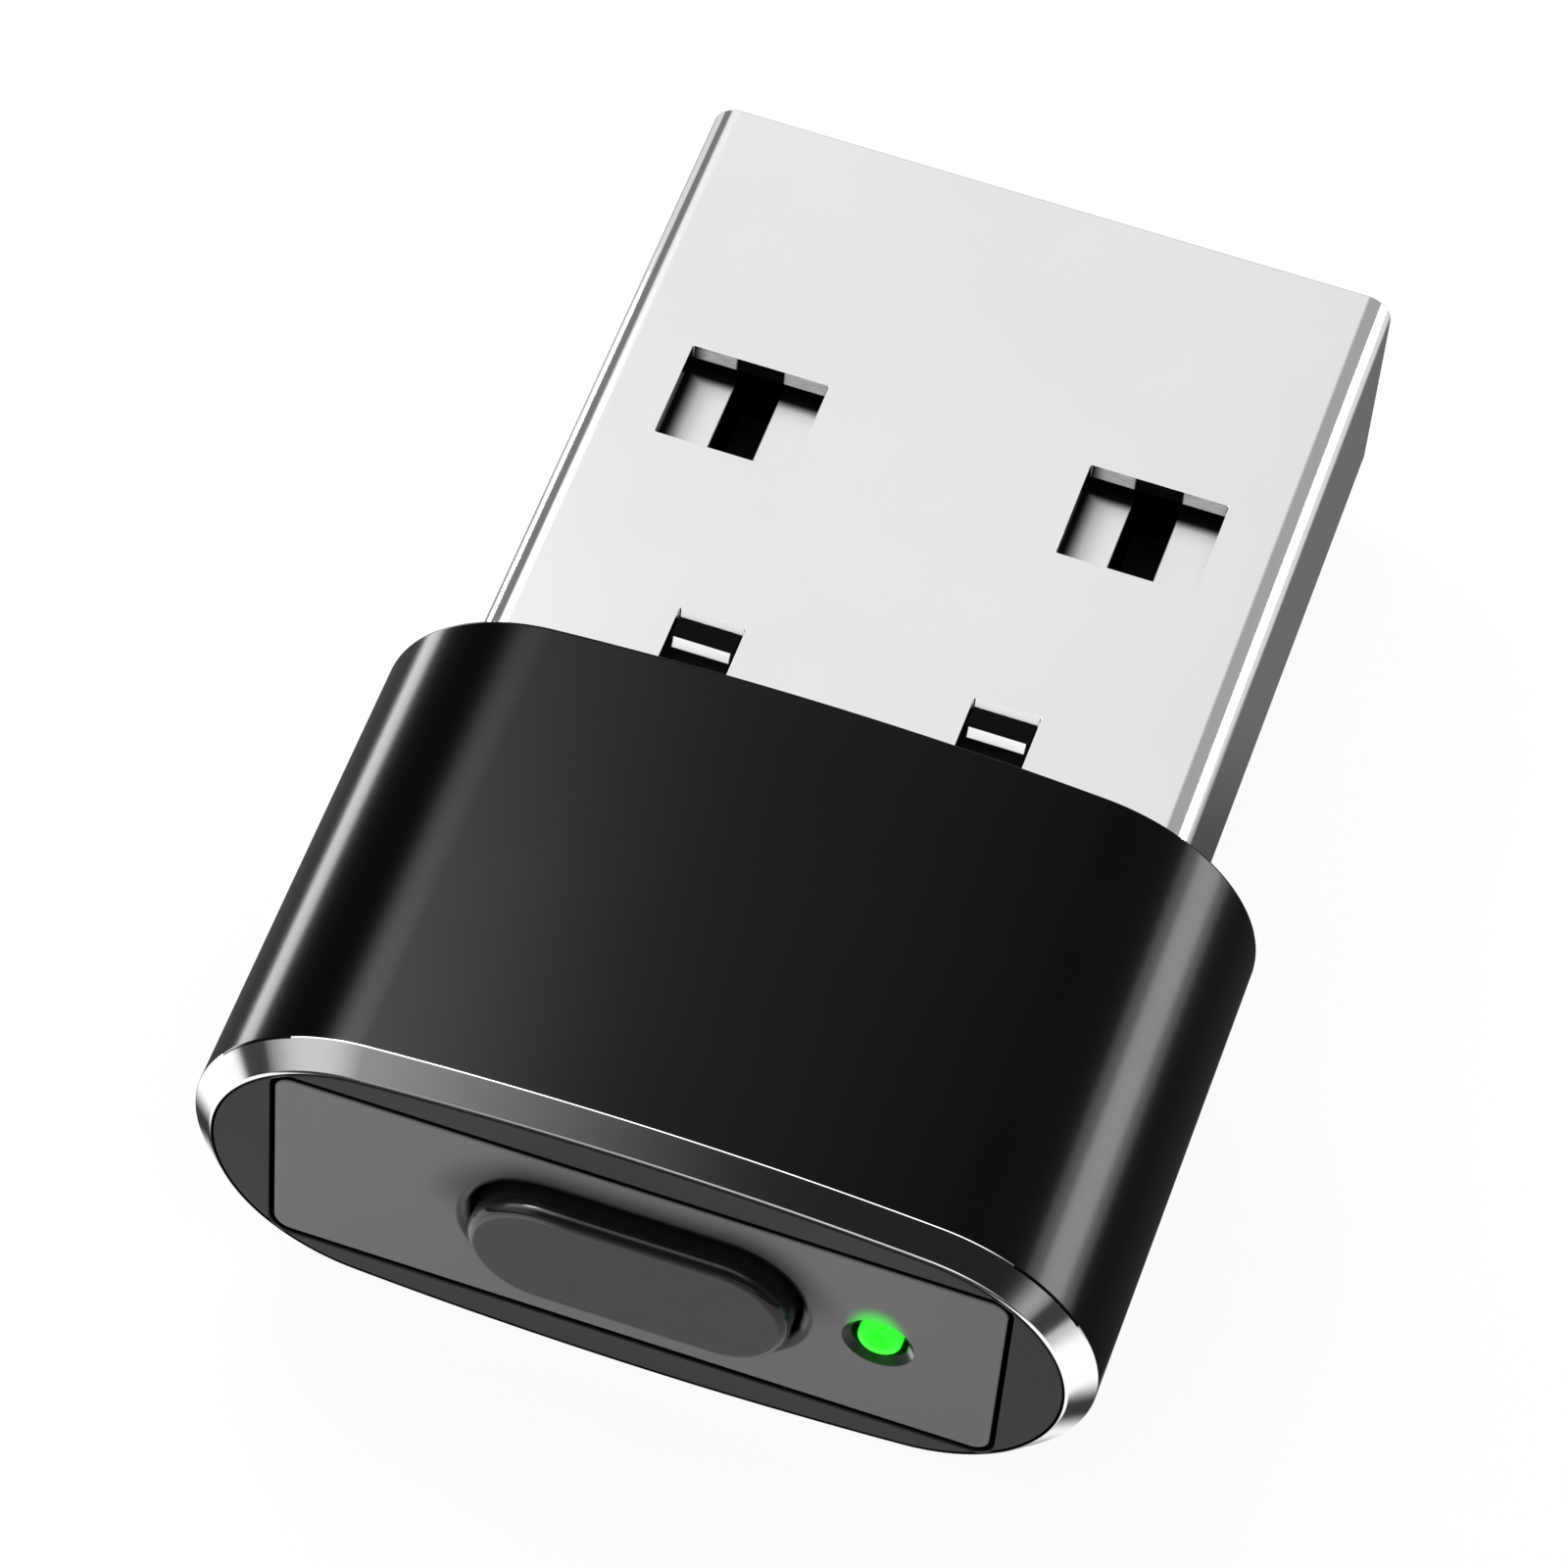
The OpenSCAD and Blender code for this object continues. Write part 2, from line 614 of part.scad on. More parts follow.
module controller_pads() {
  pitch = controller_side / (controller_pads_n + 1);
  pad_l = 0.4;
  pad_w = 0.24;
  pad_out = 0.08;
  color("#d8d8d4") facing() for (turn = [0:3], i = [0:controller_pads_n - 1])
    translate([controller_at[0], board_bottom - standoff, controller_at[1]]) rotate([0, 90 * turn, 0])
      translate([controller_side / 2 + pad_out - pad_l, 0, (i + 1) * pitch - controller_side / 2 - pad_w / 2])
        cube([pad_l, standoff, pad_w]);
}

// Metal can of the clock crystal, with a flange round its foot.
module crystal() {
  flange_h = 0.15;
  inset = 0.1;
  color("#b9babc") facing() translate([crystal_at[0], board_top, crystal_at[1]]) rotate([-90, 0, 0]) {
    linear_extrude(flange_h) rounded_2d(crystal_w, crystal_l, 0.2);
    linear_extrude(crystal_h) rounded_2d(crystal_w - 2 * inset, crystal_l - 2 * inset, 0.2);
  }
}

// The middle of a chip part: its ends are the metal caps. rise is 1 on top of the board, -1 below.
module chip_body(at, t, rise) {
  base = rise > 0 ? board_top : board_bottom;
  heights = rise > 0 ? [base, base + t] : [base - t, base];
  block(around(at[0], chip_w), heights, around(at[1], chip_l - 2 * chip_end));
}

module chip_ends(at, t, rise) {
  base = rise > 0 ? board_top : board_bottom;
  heights = rise > 0 ? [base, base + t] : [base - t, base];
  for (side = [-1, 1])
    block(around(at[0], chip_w), heights, around(at[1] + side * (chip_l - chip_end) / 2, chip_end));
}

module chip_capacitors() {
  color("#8a6a4a") facing() for (at = capacitors_at) chip_body(at, capacitor_t, -1);
}

module chip_resistors() {
  color("#1b1b1b") facing() {
    for (at = resistors_low_at) chip_body(at, resistor_t, -1);
    for (at = resistors_top_at) chip_body(at, resistor_t, 1);
  }
}

module chip_end_caps() {
  color("#cfcfcf") facing() {
    for (at = capacitors_at) chip_ends(at, capacitor_t, -1);
    for (at = resistors_low_at) chip_ends(at, resistor_t, -1);
    for (at = resistors_top_at) chip_ends(at, resistor_t, 1);
  }
}

// Side-looking light chip: a pale case with a recessed window that faces the light pipe.
module status_led() {
  rim = 0.12;
  color("#eef2e6") facing() difference() {
    block(around(light_x, led_w), onward(board_top, led_h), [led_front - led_l, led_front]);
    block(around(light_x, led_w - 2 * rim), onward(board_top + rim, led_h - 2 * rim), [led_front - 0.1, led_front + over]);
  }
}

// Moulded switch base with a pocket for the plunger and a round seat for the dome.
module switch_base() {
  base_half_w = switch_w / 2 - cover_t - fine;
  base_top = switch_h / 2 - cover_t - fine;
  color("#2a2a2c") facing() {
    difference() {
      block([-base_half_w, base_half_w], [board_top, base_top], [base_back, base_front]);
      block(around(0, plunger_w + 2 * pocket_reach), around(0, plunger_h + 2 * pocket_reach),
        [base_front - plunger_pocket, base_front + over]);
      translate([0, 0, dome_floor]) cylinder(h = base_front - dome_floor, r = dome_seat_r);
      for (side = [-1, 1]) terminal_block(side, fine);
    }
    for (side = [-1, 1]) switch_peg(side, board_t * 0.7);
  }
}

// A solder tab that leaves the base at its foot, or with play the slot it lies in.
module terminal_block(side, play = 0) {
  tab_t = 0.12;
  tab_inset = 0.3;
  tab_hold = 0.5;
  tab_d = [base_back + tab_inset, base_front - tab_inset];
  tab_in = switch_w / 2 - tab_hold;
  tab_out = switch_reach;
  x = side > 0 ? [tab_in - play, tab_out] : [-tab_out, -tab_in + play];
  block(x, [board_top - play, board_top + tab_t + play], [tab_d[0] - play, tab_d[1] + play]);
}

module switch_terminals() {
  pad_t = 0.05;
  color("#d9d4c0") facing() {
    for (side = [-1, 1]) terminal_block(side);
    translate([0, 0, dome_floor]) cylinder(h = pad_t, r = 0.3);
  }
}

// Folded metal cover: front with the plunger's opening, roof and two short cheeks.
module switch_cover() {
  cheek_short = 0.3;
  cheek_low = board_top + cheek_short;
  cheek_back = base_back + cheek_short;
  color("#c4c6c8") facing() difference() {
    block(around(0, switch_w), [cheek_low, switch_h / 2], [cheek_back, cover_front]);
    block(around(0, switch_w - 2 * cover_t), [cheek_low - over, switch_h / 2 - cover_t], [cheek_back - over, base_front]);
    block(around(0, plunger_w + 2 * seat), around(0, plunger_h + 2 * seat), [base_front - over, cover_front + over]);
  }
}

// Thin snap dome, crowned towards the plunger.
module switch_dome() {
  apex = base_front - plunger_pocket - fine;
  rise = apex - dome_floor;
  function crown(r, h) = [for (a = [0:15:90]) [r * cos(a), dome_floor + h * sin(a)]];
  function inner(r, h) = [for (a = [90:-15:0]) [r * cos(a), dome_floor + h * sin(a)]];
  color("#e3e3e6") facing() rotate_extrude()
    polygon(concat(crown(dome_r, rise), inner(dome_r - dome_t, rise - dome_t)));
}

module switch_plunger() {
  flange_reach = plunger_flange;
  flange_top = base_front - fine;
  nub_tip = base_front - plunger_pocket + fine;
  color("#efefef") facing() {
    block(around(0, plunger_w), around(0, plunger_h), [flange_top - fine, plunger_tip]);
    block(around(0, plunger_w + 2 * flange_reach), around(0, plunger_h + 2 * flange_reach),
      [flange_top - plunger_flange_t, flange_top]);
    translate([0, 0, nub_tip]) cylinder(h = flange_top - nub_tip - fine, r = plunger_nub_r);
  }
}

casing();
end_frame();
face_plate();
button_cap();
light_pipe();
plug_shell();
plug_tongue();
contact_power();
contact_data_minus();
contact_data_plus();
contact_ground();
chassis();
circuit_board();
microcontroller();
controller_pads();
crystal();
chip_capacitors();
chip_resistors();
chip_end_caps();
status_led();
switch_base();
switch_cover();
switch_dome();
switch_plunger();
switch_terminals();
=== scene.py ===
from math import atan2, cos, degrees, pi, radians, sin

import bmesh
import bpy
from mathutils import Matrix, Vector


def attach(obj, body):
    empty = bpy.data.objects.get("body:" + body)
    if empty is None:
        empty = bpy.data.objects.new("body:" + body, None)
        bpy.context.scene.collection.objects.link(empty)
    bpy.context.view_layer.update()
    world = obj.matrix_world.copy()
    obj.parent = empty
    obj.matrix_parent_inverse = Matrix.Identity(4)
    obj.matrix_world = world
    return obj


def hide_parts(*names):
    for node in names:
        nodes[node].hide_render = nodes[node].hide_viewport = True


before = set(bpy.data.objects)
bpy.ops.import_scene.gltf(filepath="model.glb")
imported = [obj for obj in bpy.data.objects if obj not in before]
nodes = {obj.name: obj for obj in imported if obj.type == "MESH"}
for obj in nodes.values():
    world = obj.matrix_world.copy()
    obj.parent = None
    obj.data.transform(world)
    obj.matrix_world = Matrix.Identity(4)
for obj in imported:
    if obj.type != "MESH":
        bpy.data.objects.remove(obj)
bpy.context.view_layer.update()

print("frame loaded:", len(nodes), "nodes")


class Wire:
    # a shader value that can be written in sums: each operator adds its Math node
    def __init__(self, sheet, socket):
        self.sheet = sheet
        self.socket = socket

    def joined(self, operation, first, second):
        return self.sheet.add("ShaderNodeMath", {"operation": operation}, {0: first, 1: second})

    def __add__(self, other):
        return self.joined("ADD", self, other)

    def __radd__(self, other):
        return self.joined("ADD", other, self)

    def __sub__(self, other):
        return self.joined("SUBTRACT", self, other)

    def __rsub__(self, other):
        return self.joined("SUBTRACT", other, self)

    def __mul__(self, other):
        return self.joined("MULTIPLY", self, other)

    def __rmul__(self, other):
        return self.joined("MULTIPLY", other, self)

    def __truediv__(self, other):
        return self.joined("DIVIDE", self, other)

    def __rtruediv__(self, other):
        return self.joined("DIVIDE", other, self)

    def __pow__(self, other):
        return self.joined("POWER", self, other)

    def __rpow__(self, other):
        return self.joined("POWER", other, self)


class Sheet:
    # the node tree of a material, a lamp or the world
    def __init__(self, tree):
        self.tree = tree
        tree.nodes.clear()

    def add(self, kind, settings=None, inputs=None, out=0):
        # out names the output that is wanted, or several of them
        node = self.tree.nodes.new(kind)
        for name, value in (settings or {}).items():
            setattr(node, name, value)
        for name, value in (inputs or {}).items():
            if isinstance(value, Wire):
                self.tree.links.new(value.socket, node.inputs[name])
            elif hasattr(value, "__len__") and node.inputs[name].type == "RGBA":
                node.inputs[name].default_value = (*value[:3], 1)
            else:
                node.inputs[name].default_value = value
        if isinstance(out, tuple):
            return [Wire(self, node.outputs[name]) for name in out]
        return Wire(self, node.outputs[out]) if node.outputs else None

    def millimetres(self, stretch=(1, 1, 1)):
        place = self.add("ShaderNodeTexCoord", out="Object")
        scale = tuple(1000 * s for s in stretch)
        return self.add("ShaderNodeVectorMath", {"operation": "MULTIPLY"}, {0: place, 1: scale})

    def axes(self, vector):
        return self.add("ShaderNodeSeparateXYZ", None, {0: vector}, ("X", "Y", "Z"))

    def spot(self):
        # the place on the piece in millimetres, as a vector and as its three parts
        place = self.millimetres()
        return (place, *self.axes(place))

    def rays(self):
        # one for rays from the camera, and one for rays from a mirror or through glass
        wanted = ("Is Camera Ray", "Is Glossy Ray", "Is Transmission Ray")
        seen, glossy, through = self.add("ShaderNodeLightPath", out=wanted)
        return seen, glossy + through

    def noise(self, vector, scale, detail=3, rough=0.55):
        return self.add("ShaderNodeTexNoise", None,
                        {"Vector": vector, "Scale": scale, "Detail": detail, "Roughness": rough})

    def ease(self, value, low, high, start=0.0, end=1.0):
        return self.add("ShaderNodeMapRange", {"interpolation_type": "SMOOTHSTEP"},
                        {"Value": value, "From Min": low, "From Max": high, "To Min": start, "To Max": end})

    def blend(self, factor, first, second):
        # the Mix node's own colour sockets
        return self.add("ShaderNodeMix", {"data_type": "RGBA"}, {0: factor, 6: first, 7: second}, 2)

    def absolute(self, value):
        return self.add("ShaderNodeMath", {"operation": "ABSOLUTE"}, {0: value})

    def larger(self, first, second):
        return self.add("ShaderNodeMath", {"operation": "MAXIMUM"}, {0: first, 1: second})

    def slab(self, value, rise, fall):
        # one between the end of the rise and the start of the fall, nought outside
        return self.ease(value, *rise) * self.ease(value, fall[1], fall[0])

    def bump(self, height, strength, distance):
        return self.add("ShaderNodeBump", None,
                        {"Height": height, "Strength": strength, "Distance": distance / 1000})


def finishOf(name, paint, even):
    # paint gets the sheet and gives the inputs that vary; the even ones are set on the shader itself
    material = bpy.data.materials.new(name)
    material.use_nodes = True
    sheet = Sheet(material.node_tree)
    shader = sheet.add("ShaderNodeBsdfPrincipled", None, {**even, **paint(sheet)})
    sheet.add("ShaderNodeOutputMaterial", None, {"Surface": shader})
    return material


def gray(level):
    return (level, level, level)


def placed(loop, depth):
    # a flat loop of (x, z) set at a depth behind the shoulder
    return [(x, -depth, z) for x, z in loop]


def wall(bm, rings, closed=False):
    rows = [[bm.verts.new(point) for point in ring] for ring in rings]
    count = len(rows[0])
    pairs = list(zip(rows, rows[1:])) + ([(rows[-1], rows[0])] if closed else [])
    faces = []
    for low, high in pairs:
        for i in range(count):
            j = (i + 1) % count
            faces.append(bm.faces.new((low[i], low[j], high[j], high[i])))
    return rows, faces


def fillBetween(bm, *loops):
    edges = []
    for loop in loops:
        for i in range(len(loop)):
            edges.append(bm.edges.get((loop[i], loop[(i + 1) % len(loop)])))
    bmesh.ops.triangle_fill(bm, use_beauty=True, edges=edges)


def capped(bm, rings):
    # a wall between two rings, with both its ends closed
    rows, _ = wall(bm, rings)
    fillBetween(bm, rows[0])
    fillBetween(bm, rows[1])


def meshFrom(bm, name):
    bmesh.ops.recalc_face_normals(bm, faces=bm.faces[:])
    data = bpy.data.meshes.new(name)
    bm.to_mesh(data)
    bm.free()
    piece = bpy.data.objects.new(name, data)
    bpy.context.scene.collection.objects.link(piece)
    return piece


def baked(piece):
    # applies the modifiers, in millimetres still
    depsgraph = bpy.context.evaluated_depsgraph_get()
    done = bpy.data.meshes.new_from_object(piece.evaluated_get(depsgraph))
    old = piece.data
    piece.modifiers.clear()
    piece.data = done
    bpy.data.meshes.remove(old)


def cutBy(piece, cutters, operation="DIFFERENCE"):
    for cutter in cutters:
        modifier = piece.modifiers.new("cut", "BOOLEAN")
        modifier.operation = operation
        modifier.solver = "EXACT"
        modifier.object = cutter
    baked(piece)
    for cutter in cutters:
        bpy.data.objects.remove(cutter)


def rounded(piece, width):
    modifier = piece.modifiers.new("edges", "BEVEL")
    modifier.width = width
    modifier.segments = 2
    modifier.limit_method = "ANGLE"
    modifier.angle_limit = radians(50)
    baked(piece)


def finished(piece, body, materials, replaces, sharp=40):
    # smooth shading with true flats, then from millimetres to metres and on to its body
    data = piece.data
    for polygon in data.polygons:
        polygon.use_smooth = True
    data.set_sharp_from_angle(angle=radians(sharp))
    modifier = piece.modifiers.new("flats", "WEIGHTED_NORMAL")
    modifier.keep_sharp = True
    modifier.weight = 100
    baked(piece)
    piece.data.transform(Matrix.Scale(0.001, 4))
    parts = [polygon.material_index for polygon in piece.data.polygons]
    for material in materials:
        piece.data.materials.append(material)
    piece.data.polygons.foreach_set("material_index", parts)
    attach(piece, body)
    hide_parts(*replaces)


def arcPoints(x, z, r, start, end, steps):
    # angles from +z towards +x, in degrees
    return [(x + r * sin(radians(start + (end - start) * i / steps)),
             z + r * cos(radians(start + (end - start) * i / steps))) for i in range(steps)]


def ovalLoop(inset):
    # the casing's four-centre oval, moved inwards
    width, height, rise = casingSize["width"] / 2, casingSize["height"] / 2, casingSize["crownRise"]
    endR = height - rise
    endX = width - endR
    crownR = (endX ** 2 + height ** 2 - endR ** 2) / (2 * rise)
    lean = degrees(atan2(endX, crownR - height))
    ends, crowns = casingSize["endSteps"], casingSize["crownSteps"]
    drop = crownR - height
    return (arcPoints(0, -drop, crownR - inset, -lean, lean, crowns)
            + arcPoints(endX, 0, endR - inset, lean, 180 - lean, ends)
            + arcPoints(0, drop, crownR - inset, 180 - lean, 180 + lean, crowns)
            + arcPoints(-endX, 0, endR - inset, 180 + lean, 360 - lean, ends))


def boxLoop(width, height, r, steps=8):
    x, z = width / 2 - r, height / 2 - r
    loop = []
    for cx, cz, start in ((x, z, 0), (x, -z, 90), (-x, -z, 180), (-x, z, 270)):
        loop += arcPoints(cx, cz, r, start, start + 90, steps)
        loop.append((cx + r * sin(radians(start + 90)), cz + r * cos(radians(start + 90))))
    return loop


def stadiumLoop(half, r, steps=32):
    return (arcPoints(half, 0, r, 0, 180, steps) + [(half, -r)]
            + arcPoints(-half, 0, r, 180, 360, steps) + [(-half, r)])


def ringLoop(x, r):
    return arcPoints(x, 0, r, 0, 360, 48)


def solidOf(name, loop, low, high):
    # a straight solid on a flat loop, for cutting and joining
    bm = bmesh.new()
    capped(bm, [placed(loop, low), placed(loop, high)])
    return meshFrom(bm, name)


def blockOf(name, x, z, depth, r=0.0):
    # a block given by its [low, high] across, up and in depth, with round upright corners
    bm = bmesh.new()
    cx, cy = (x[0] + x[1]) / 2, (depth[0] + depth[1]) / 2
    wide, deep = (x[1] - x[0]) / 2, (depth[1] - depth[0]) / 2
    if r:
        flat = boxLoop(2 * wide, 2 * deep, r, 5)
    else:
        flat = [(-wide, -deep), (-wide, deep), (wide, deep), (wide, -deep)]
    capped(bm, [[(cx + px, -cy - py, level) for px, py in flat] for level in z])
    return meshFrom(bm, name)


cameraFit = {
    "place": (16.69940916, -69.29868985, 98.85603436),  # mm
    "right": (0.9457589, 0.31952121, 0.0587052),
    "down": (0.29178459, -0.75600865, -0.58592891),
    "ahead": (-0.14283507, 0.57127675, -0.80823327),
    "focal": 7687.908, "square": 1600,  # in pixels
    "sensor": 36, "clip": (0.002, 20),
}

cameraData = bpy.data.cameras.new("camera")
cameraData.sensor_width = cameraFit["sensor"]
cameraData.lens = cameraFit["focal"] / cameraFit["square"] * cameraFit["sensor"]
cameraData.clip_start, cameraData.clip_end = cameraFit["clip"]
camera = bpy.data.objects.new("camera", cameraData)
bpy.context.scene.collection.objects.link(camera)
right, up, back = Vector(cameraFit["right"]), -Vector(cameraFit["down"]), -Vector(cameraFit["ahead"])
turn = Matrix((right, up, back)).transposed().to_4x4()
camera.matrix_world = Matrix.Translation(Vector(cameraFit["place"]) / 1000) @ turn
bpy.context.scene.camera = camera
print("camera set")


casingSize = {
    "width": 14.85, "height": 6.6, "crownRise": 0.21, "length": 9.0,
    "wall": 0.43, "shoulder": 0.8, "shoulderEdge": 0.08,
    "chamferLength": 0.4, "land": 0.02, "facet": 0.04, "crease": (0.006, 0.005), "edge": 0.03,
    "port": (12.06, 4.56, 0.48), "portMouth": (12.1, 4.6, 0.5), "portEdge": 0.02,  # width, height and corner
    "band": 0.5, "shadedEdge": (5.85, 6.95), "endSteps": 150, "crownSteps": 90,
}


def anodised(sheet):
    place = sheet.millimetres()
    cloud = sheet.noise(place, 0.35, 2)
    grain = sheet.noise(place, 42, 3)
    return {
        "Base Color": sheet.blend(cloud, (0.0108, 0.0108, 0.0112), (0.0128, 0.0128, 0.0132)),
        "Roughness": 0.155 + 0.04 * grain,
        "Normal": sheet.bump(grain, 0.05, 0.002),
    }


def cutMetal(sheet):
    streak = sheet.noise(sheet.millimetres((1, 14, 1)), 3.2, 3)
    soft = sheet.noise(sheet.millimetres(), 1.6, 2)
    return {
        "Base Color": sheet.blend(soft, (0.88, 0.88, 0.885), (0.94, 0.94, 0.945)),
        "Roughness": 0.08 + 0.05 * streak,
        "Normal": sheet.bump(streak, 0.03, 0.003),
    }


def makeCasing():
    size = casingSize
    end, lip = size["length"], size["length"] - size["chamferLength"]
    inner = size["wall"]
    e = size["edge"]
    # from the inner wall out over the land, down the chamfer, and back along the outside
    section = [(inner, size["shoulder"]), (inner, end - e * 0.3), (inner - e * 0.3, end)]
    land = inner - size["land"]
    section += [(land, end), (land - size["facet"], end - 0.6 * size["facet"])]
    inward, back = size["crease"]
    section += [(land - size["facet"] - inward, end - 0.6 * size["facet"] - back)]
    chamferFrom = len(section) - 1
    section += [(e * 0.75, lip + e * 0.75), (e * 0.32, lip + e * 0.22), (e * 0.08, lip - e * 0.35)]
    chamferTo = len(section) - 2
    s = size["shoulderEdge"]
    section += [(0, lip - e), (0, s + size["band"])]
    section += [(s - s * cos(radians(a)), s - s * sin(radians(a))) for a in (0, 15, 30, 45, 60, 75, 90)]
    bm = bmesh.new()
    rows, faces = wall(bm, [placed(ovalLoop(inset), depth) for inset, depth in section])
    count = len(rows[0])
    for i in range(chamferFrom - 2, chamferTo + 1):
        for face in faces[i * count:(i + 1) * count]:
            face.material_index = 1
            middle = face.calc_center_median()
            # painted shade: over this stretch the thin outer edge where the ends turn keeps the black
            # anodising, as a dark line
            if i >= chamferTo - 1 and middle.z > 0 and size["shadedEdge"][0] < abs(middle.x) < size["shadedEdge"][1]:
                face.material_index = 0
    hole, mouth = boxLoop(*size["port"], 10), boxLoop(*size["portMouth"], 10)
    holeRows, _ = wall(bm, [placed(mouth, 0), placed(hole, size["portEdge"]), placed(hole, size["shoulder"])])
    fillBetween(bm, rows[-1], holeRows[0])
    fillBetween(bm, rows[0], holeRows[-1])
    skins = [finishOf("anodised_black", anodised, {"Metallic": 1.0, "Specular Tint": gray(0.55)}),
             finishOf("cut_aluminium", cutMetal, {"Metallic": 1.0})]
    finished(meshFrom(bm, "casing_shell"), "housing", skins, ["casing"], sharp=50)


makeCasing()
print("casing made")


plateSize = {
    "width": 11.9, "height": 4.18, "thick": 0.75, "corner": 0.29, "edge": 0.035,
    "buttonHalf": 1.43, "holeR": 1.29, "lip": 0.21,
    "lightX": 3.99, "lightHole": 0.47, "countersink": 0.59, "lensDepth": 0.12,
    "sinkEdge": ((-0.012, 0.014), (0.004, 0.004), (0.018, 0)),  # outwards and back from the countersink's rim
    # the look, with bounds in millimetres
    "tone": 0.14, "gapShadeBack": (-8.99, -8.965), "shadeToRight": (1, 6.5),
    "shade": (0.95, 0.1), "shadeUp": (-0.3, 0.9),
    "lipShadeRim": (0.23, 0.19), "sinkRim": (0.6, 0.585), "sinkBack": (-8.998, -8.99),
    "glintAt": (0.53, -0.07), "glint": (0.15, 0.02),
    "endGlint": ((0.0, 0.05), (0.08, 0.14)), "endGlintUp": ((-0.42, -0.2), (0.1, 0.3)),
    "endGlintFrom": (1.1, 1.25),
    "haloAt": (-0.04, 0.28), "haloHalf": (0.56, 0.74), "halo": (1.0, 0.35), "haloUp": (0.12, 0.34),
    "lowGlow": (0.45, 0.1),
}

frameSize = {
    "thick": 1.5, "gap": 0.02, "edge": 0.03, "pocketGap": 0.085, "pocketTall": 0.03,
    "railFrom": 5.3, "railTo": 7.6, "railEnd": 7.01, "railInto": 0.3, "railGap": 0.04,
    "railLow": -0.65, "railHigh": 1.65, "shadeToRight": (2, 7),
}


def frameSkin(sheet):
    place, x, y, z = sheet.spot()
    cloud = sheet.noise(place, 0.5, 2)
    grain = sheet.noise(place, 30, 4)
    # painted shade: darker towards the right, and black in the gaps round the plate
    depth = sheet.ease(y, *plateSize["gapShadeBack"])
    base = sheet.blend(cloud, gray(0.022), gray(0.026))
    base = sheet.blend(sheet.ease(x, *frameSize["shadeToRight"]) * 0.25, base, gray(0.005))
    return {
        "Base Color": sheet.blend(depth, base, gray(0.005)),
        "Roughness": 0.42 + 0.12 * (grain - 0.5),
        "Normal": sheet.bump(grain, 0.12, 0.006),
    }


def makeFrame():
    size, end = frameSize, casingSize["length"]
    e = size["edge"]
    outer = casingSize["wall"] + size["gap"]
    back = end - size["thick"]
    floor = end - plateSize["thick"]
    gap = size["pocketGap"]
    bm = bmesh.new()
    rim = [(outer, back), (outer, end - e)]
    rim += [(outer + e - e * cos(radians(a)), end - e + e * sin(radians(a))) for a in (30, 60, 90)]
    outerRows, _ = wall(bm, [placed(ovalLoop(inset), depth) for inset, depth in rim])
    grow = [(e, end), (e * 0.5, end - e * 0.13), (e * 0.13, end - e * 0.5), (0, end - e), (0, floor)]
    wide, tall = plateSize["width"] + 2 * gap, plateSize["height"] + 2 * (gap + size["pocketTall"])
    corner = plateSize["corner"] + gap
    pocket = [placed(boxLoop(wide + 2 * g, tall + 2 * g, corner + g), depth) for g, depth in grow]
    pocketRows, _ = wall(bm, pocket)
    stadium = stadiumLoop(plateSize["buttonHalf"], plateSize["holeR"])
    stadiumRows, _ = wall(bm, [placed(stadium, floor), placed(stadium, back)])
    light = ringLoop(plateSize["lightX"], plateSize["lightHole"])
    lightRows, _ = wall(bm, [placed(light, floor), placed(light, back)])
    fillBetween(bm, outerRows[-1], pocketRows[0])
    fillBetween(bm, pocketRows[-1], stadiumRows[0], lightRows[0])
    fillBetween(bm, outerRows[0], stadiumRows[-1], lightRows[-1])
    body = meshFrom(bm, "end_frame_moulding")
    # the two pads that hold the board's rails
    for side in (-1, 1):
        across = sorted((side * size["railFrom"], side * size["railTo"]))
        pad = blockOf("pad", across, (size["railLow"], size["railHigh"]),
                      (size["railEnd"], back + size["railInto"]))
        trim = solidOf("trim", ovalLoop(casingSize["wall"] + size["railGap"]), 0, end)
        cutBy(pad, [trim], "INTERSECT")
        cutBy(body, [pad], "UNION")
    skin = finishOf("frame_grey", frameSkin, {"Specular IOR Level": 0.15})
    finished(body, "housing", [skin], ["end_frame"])


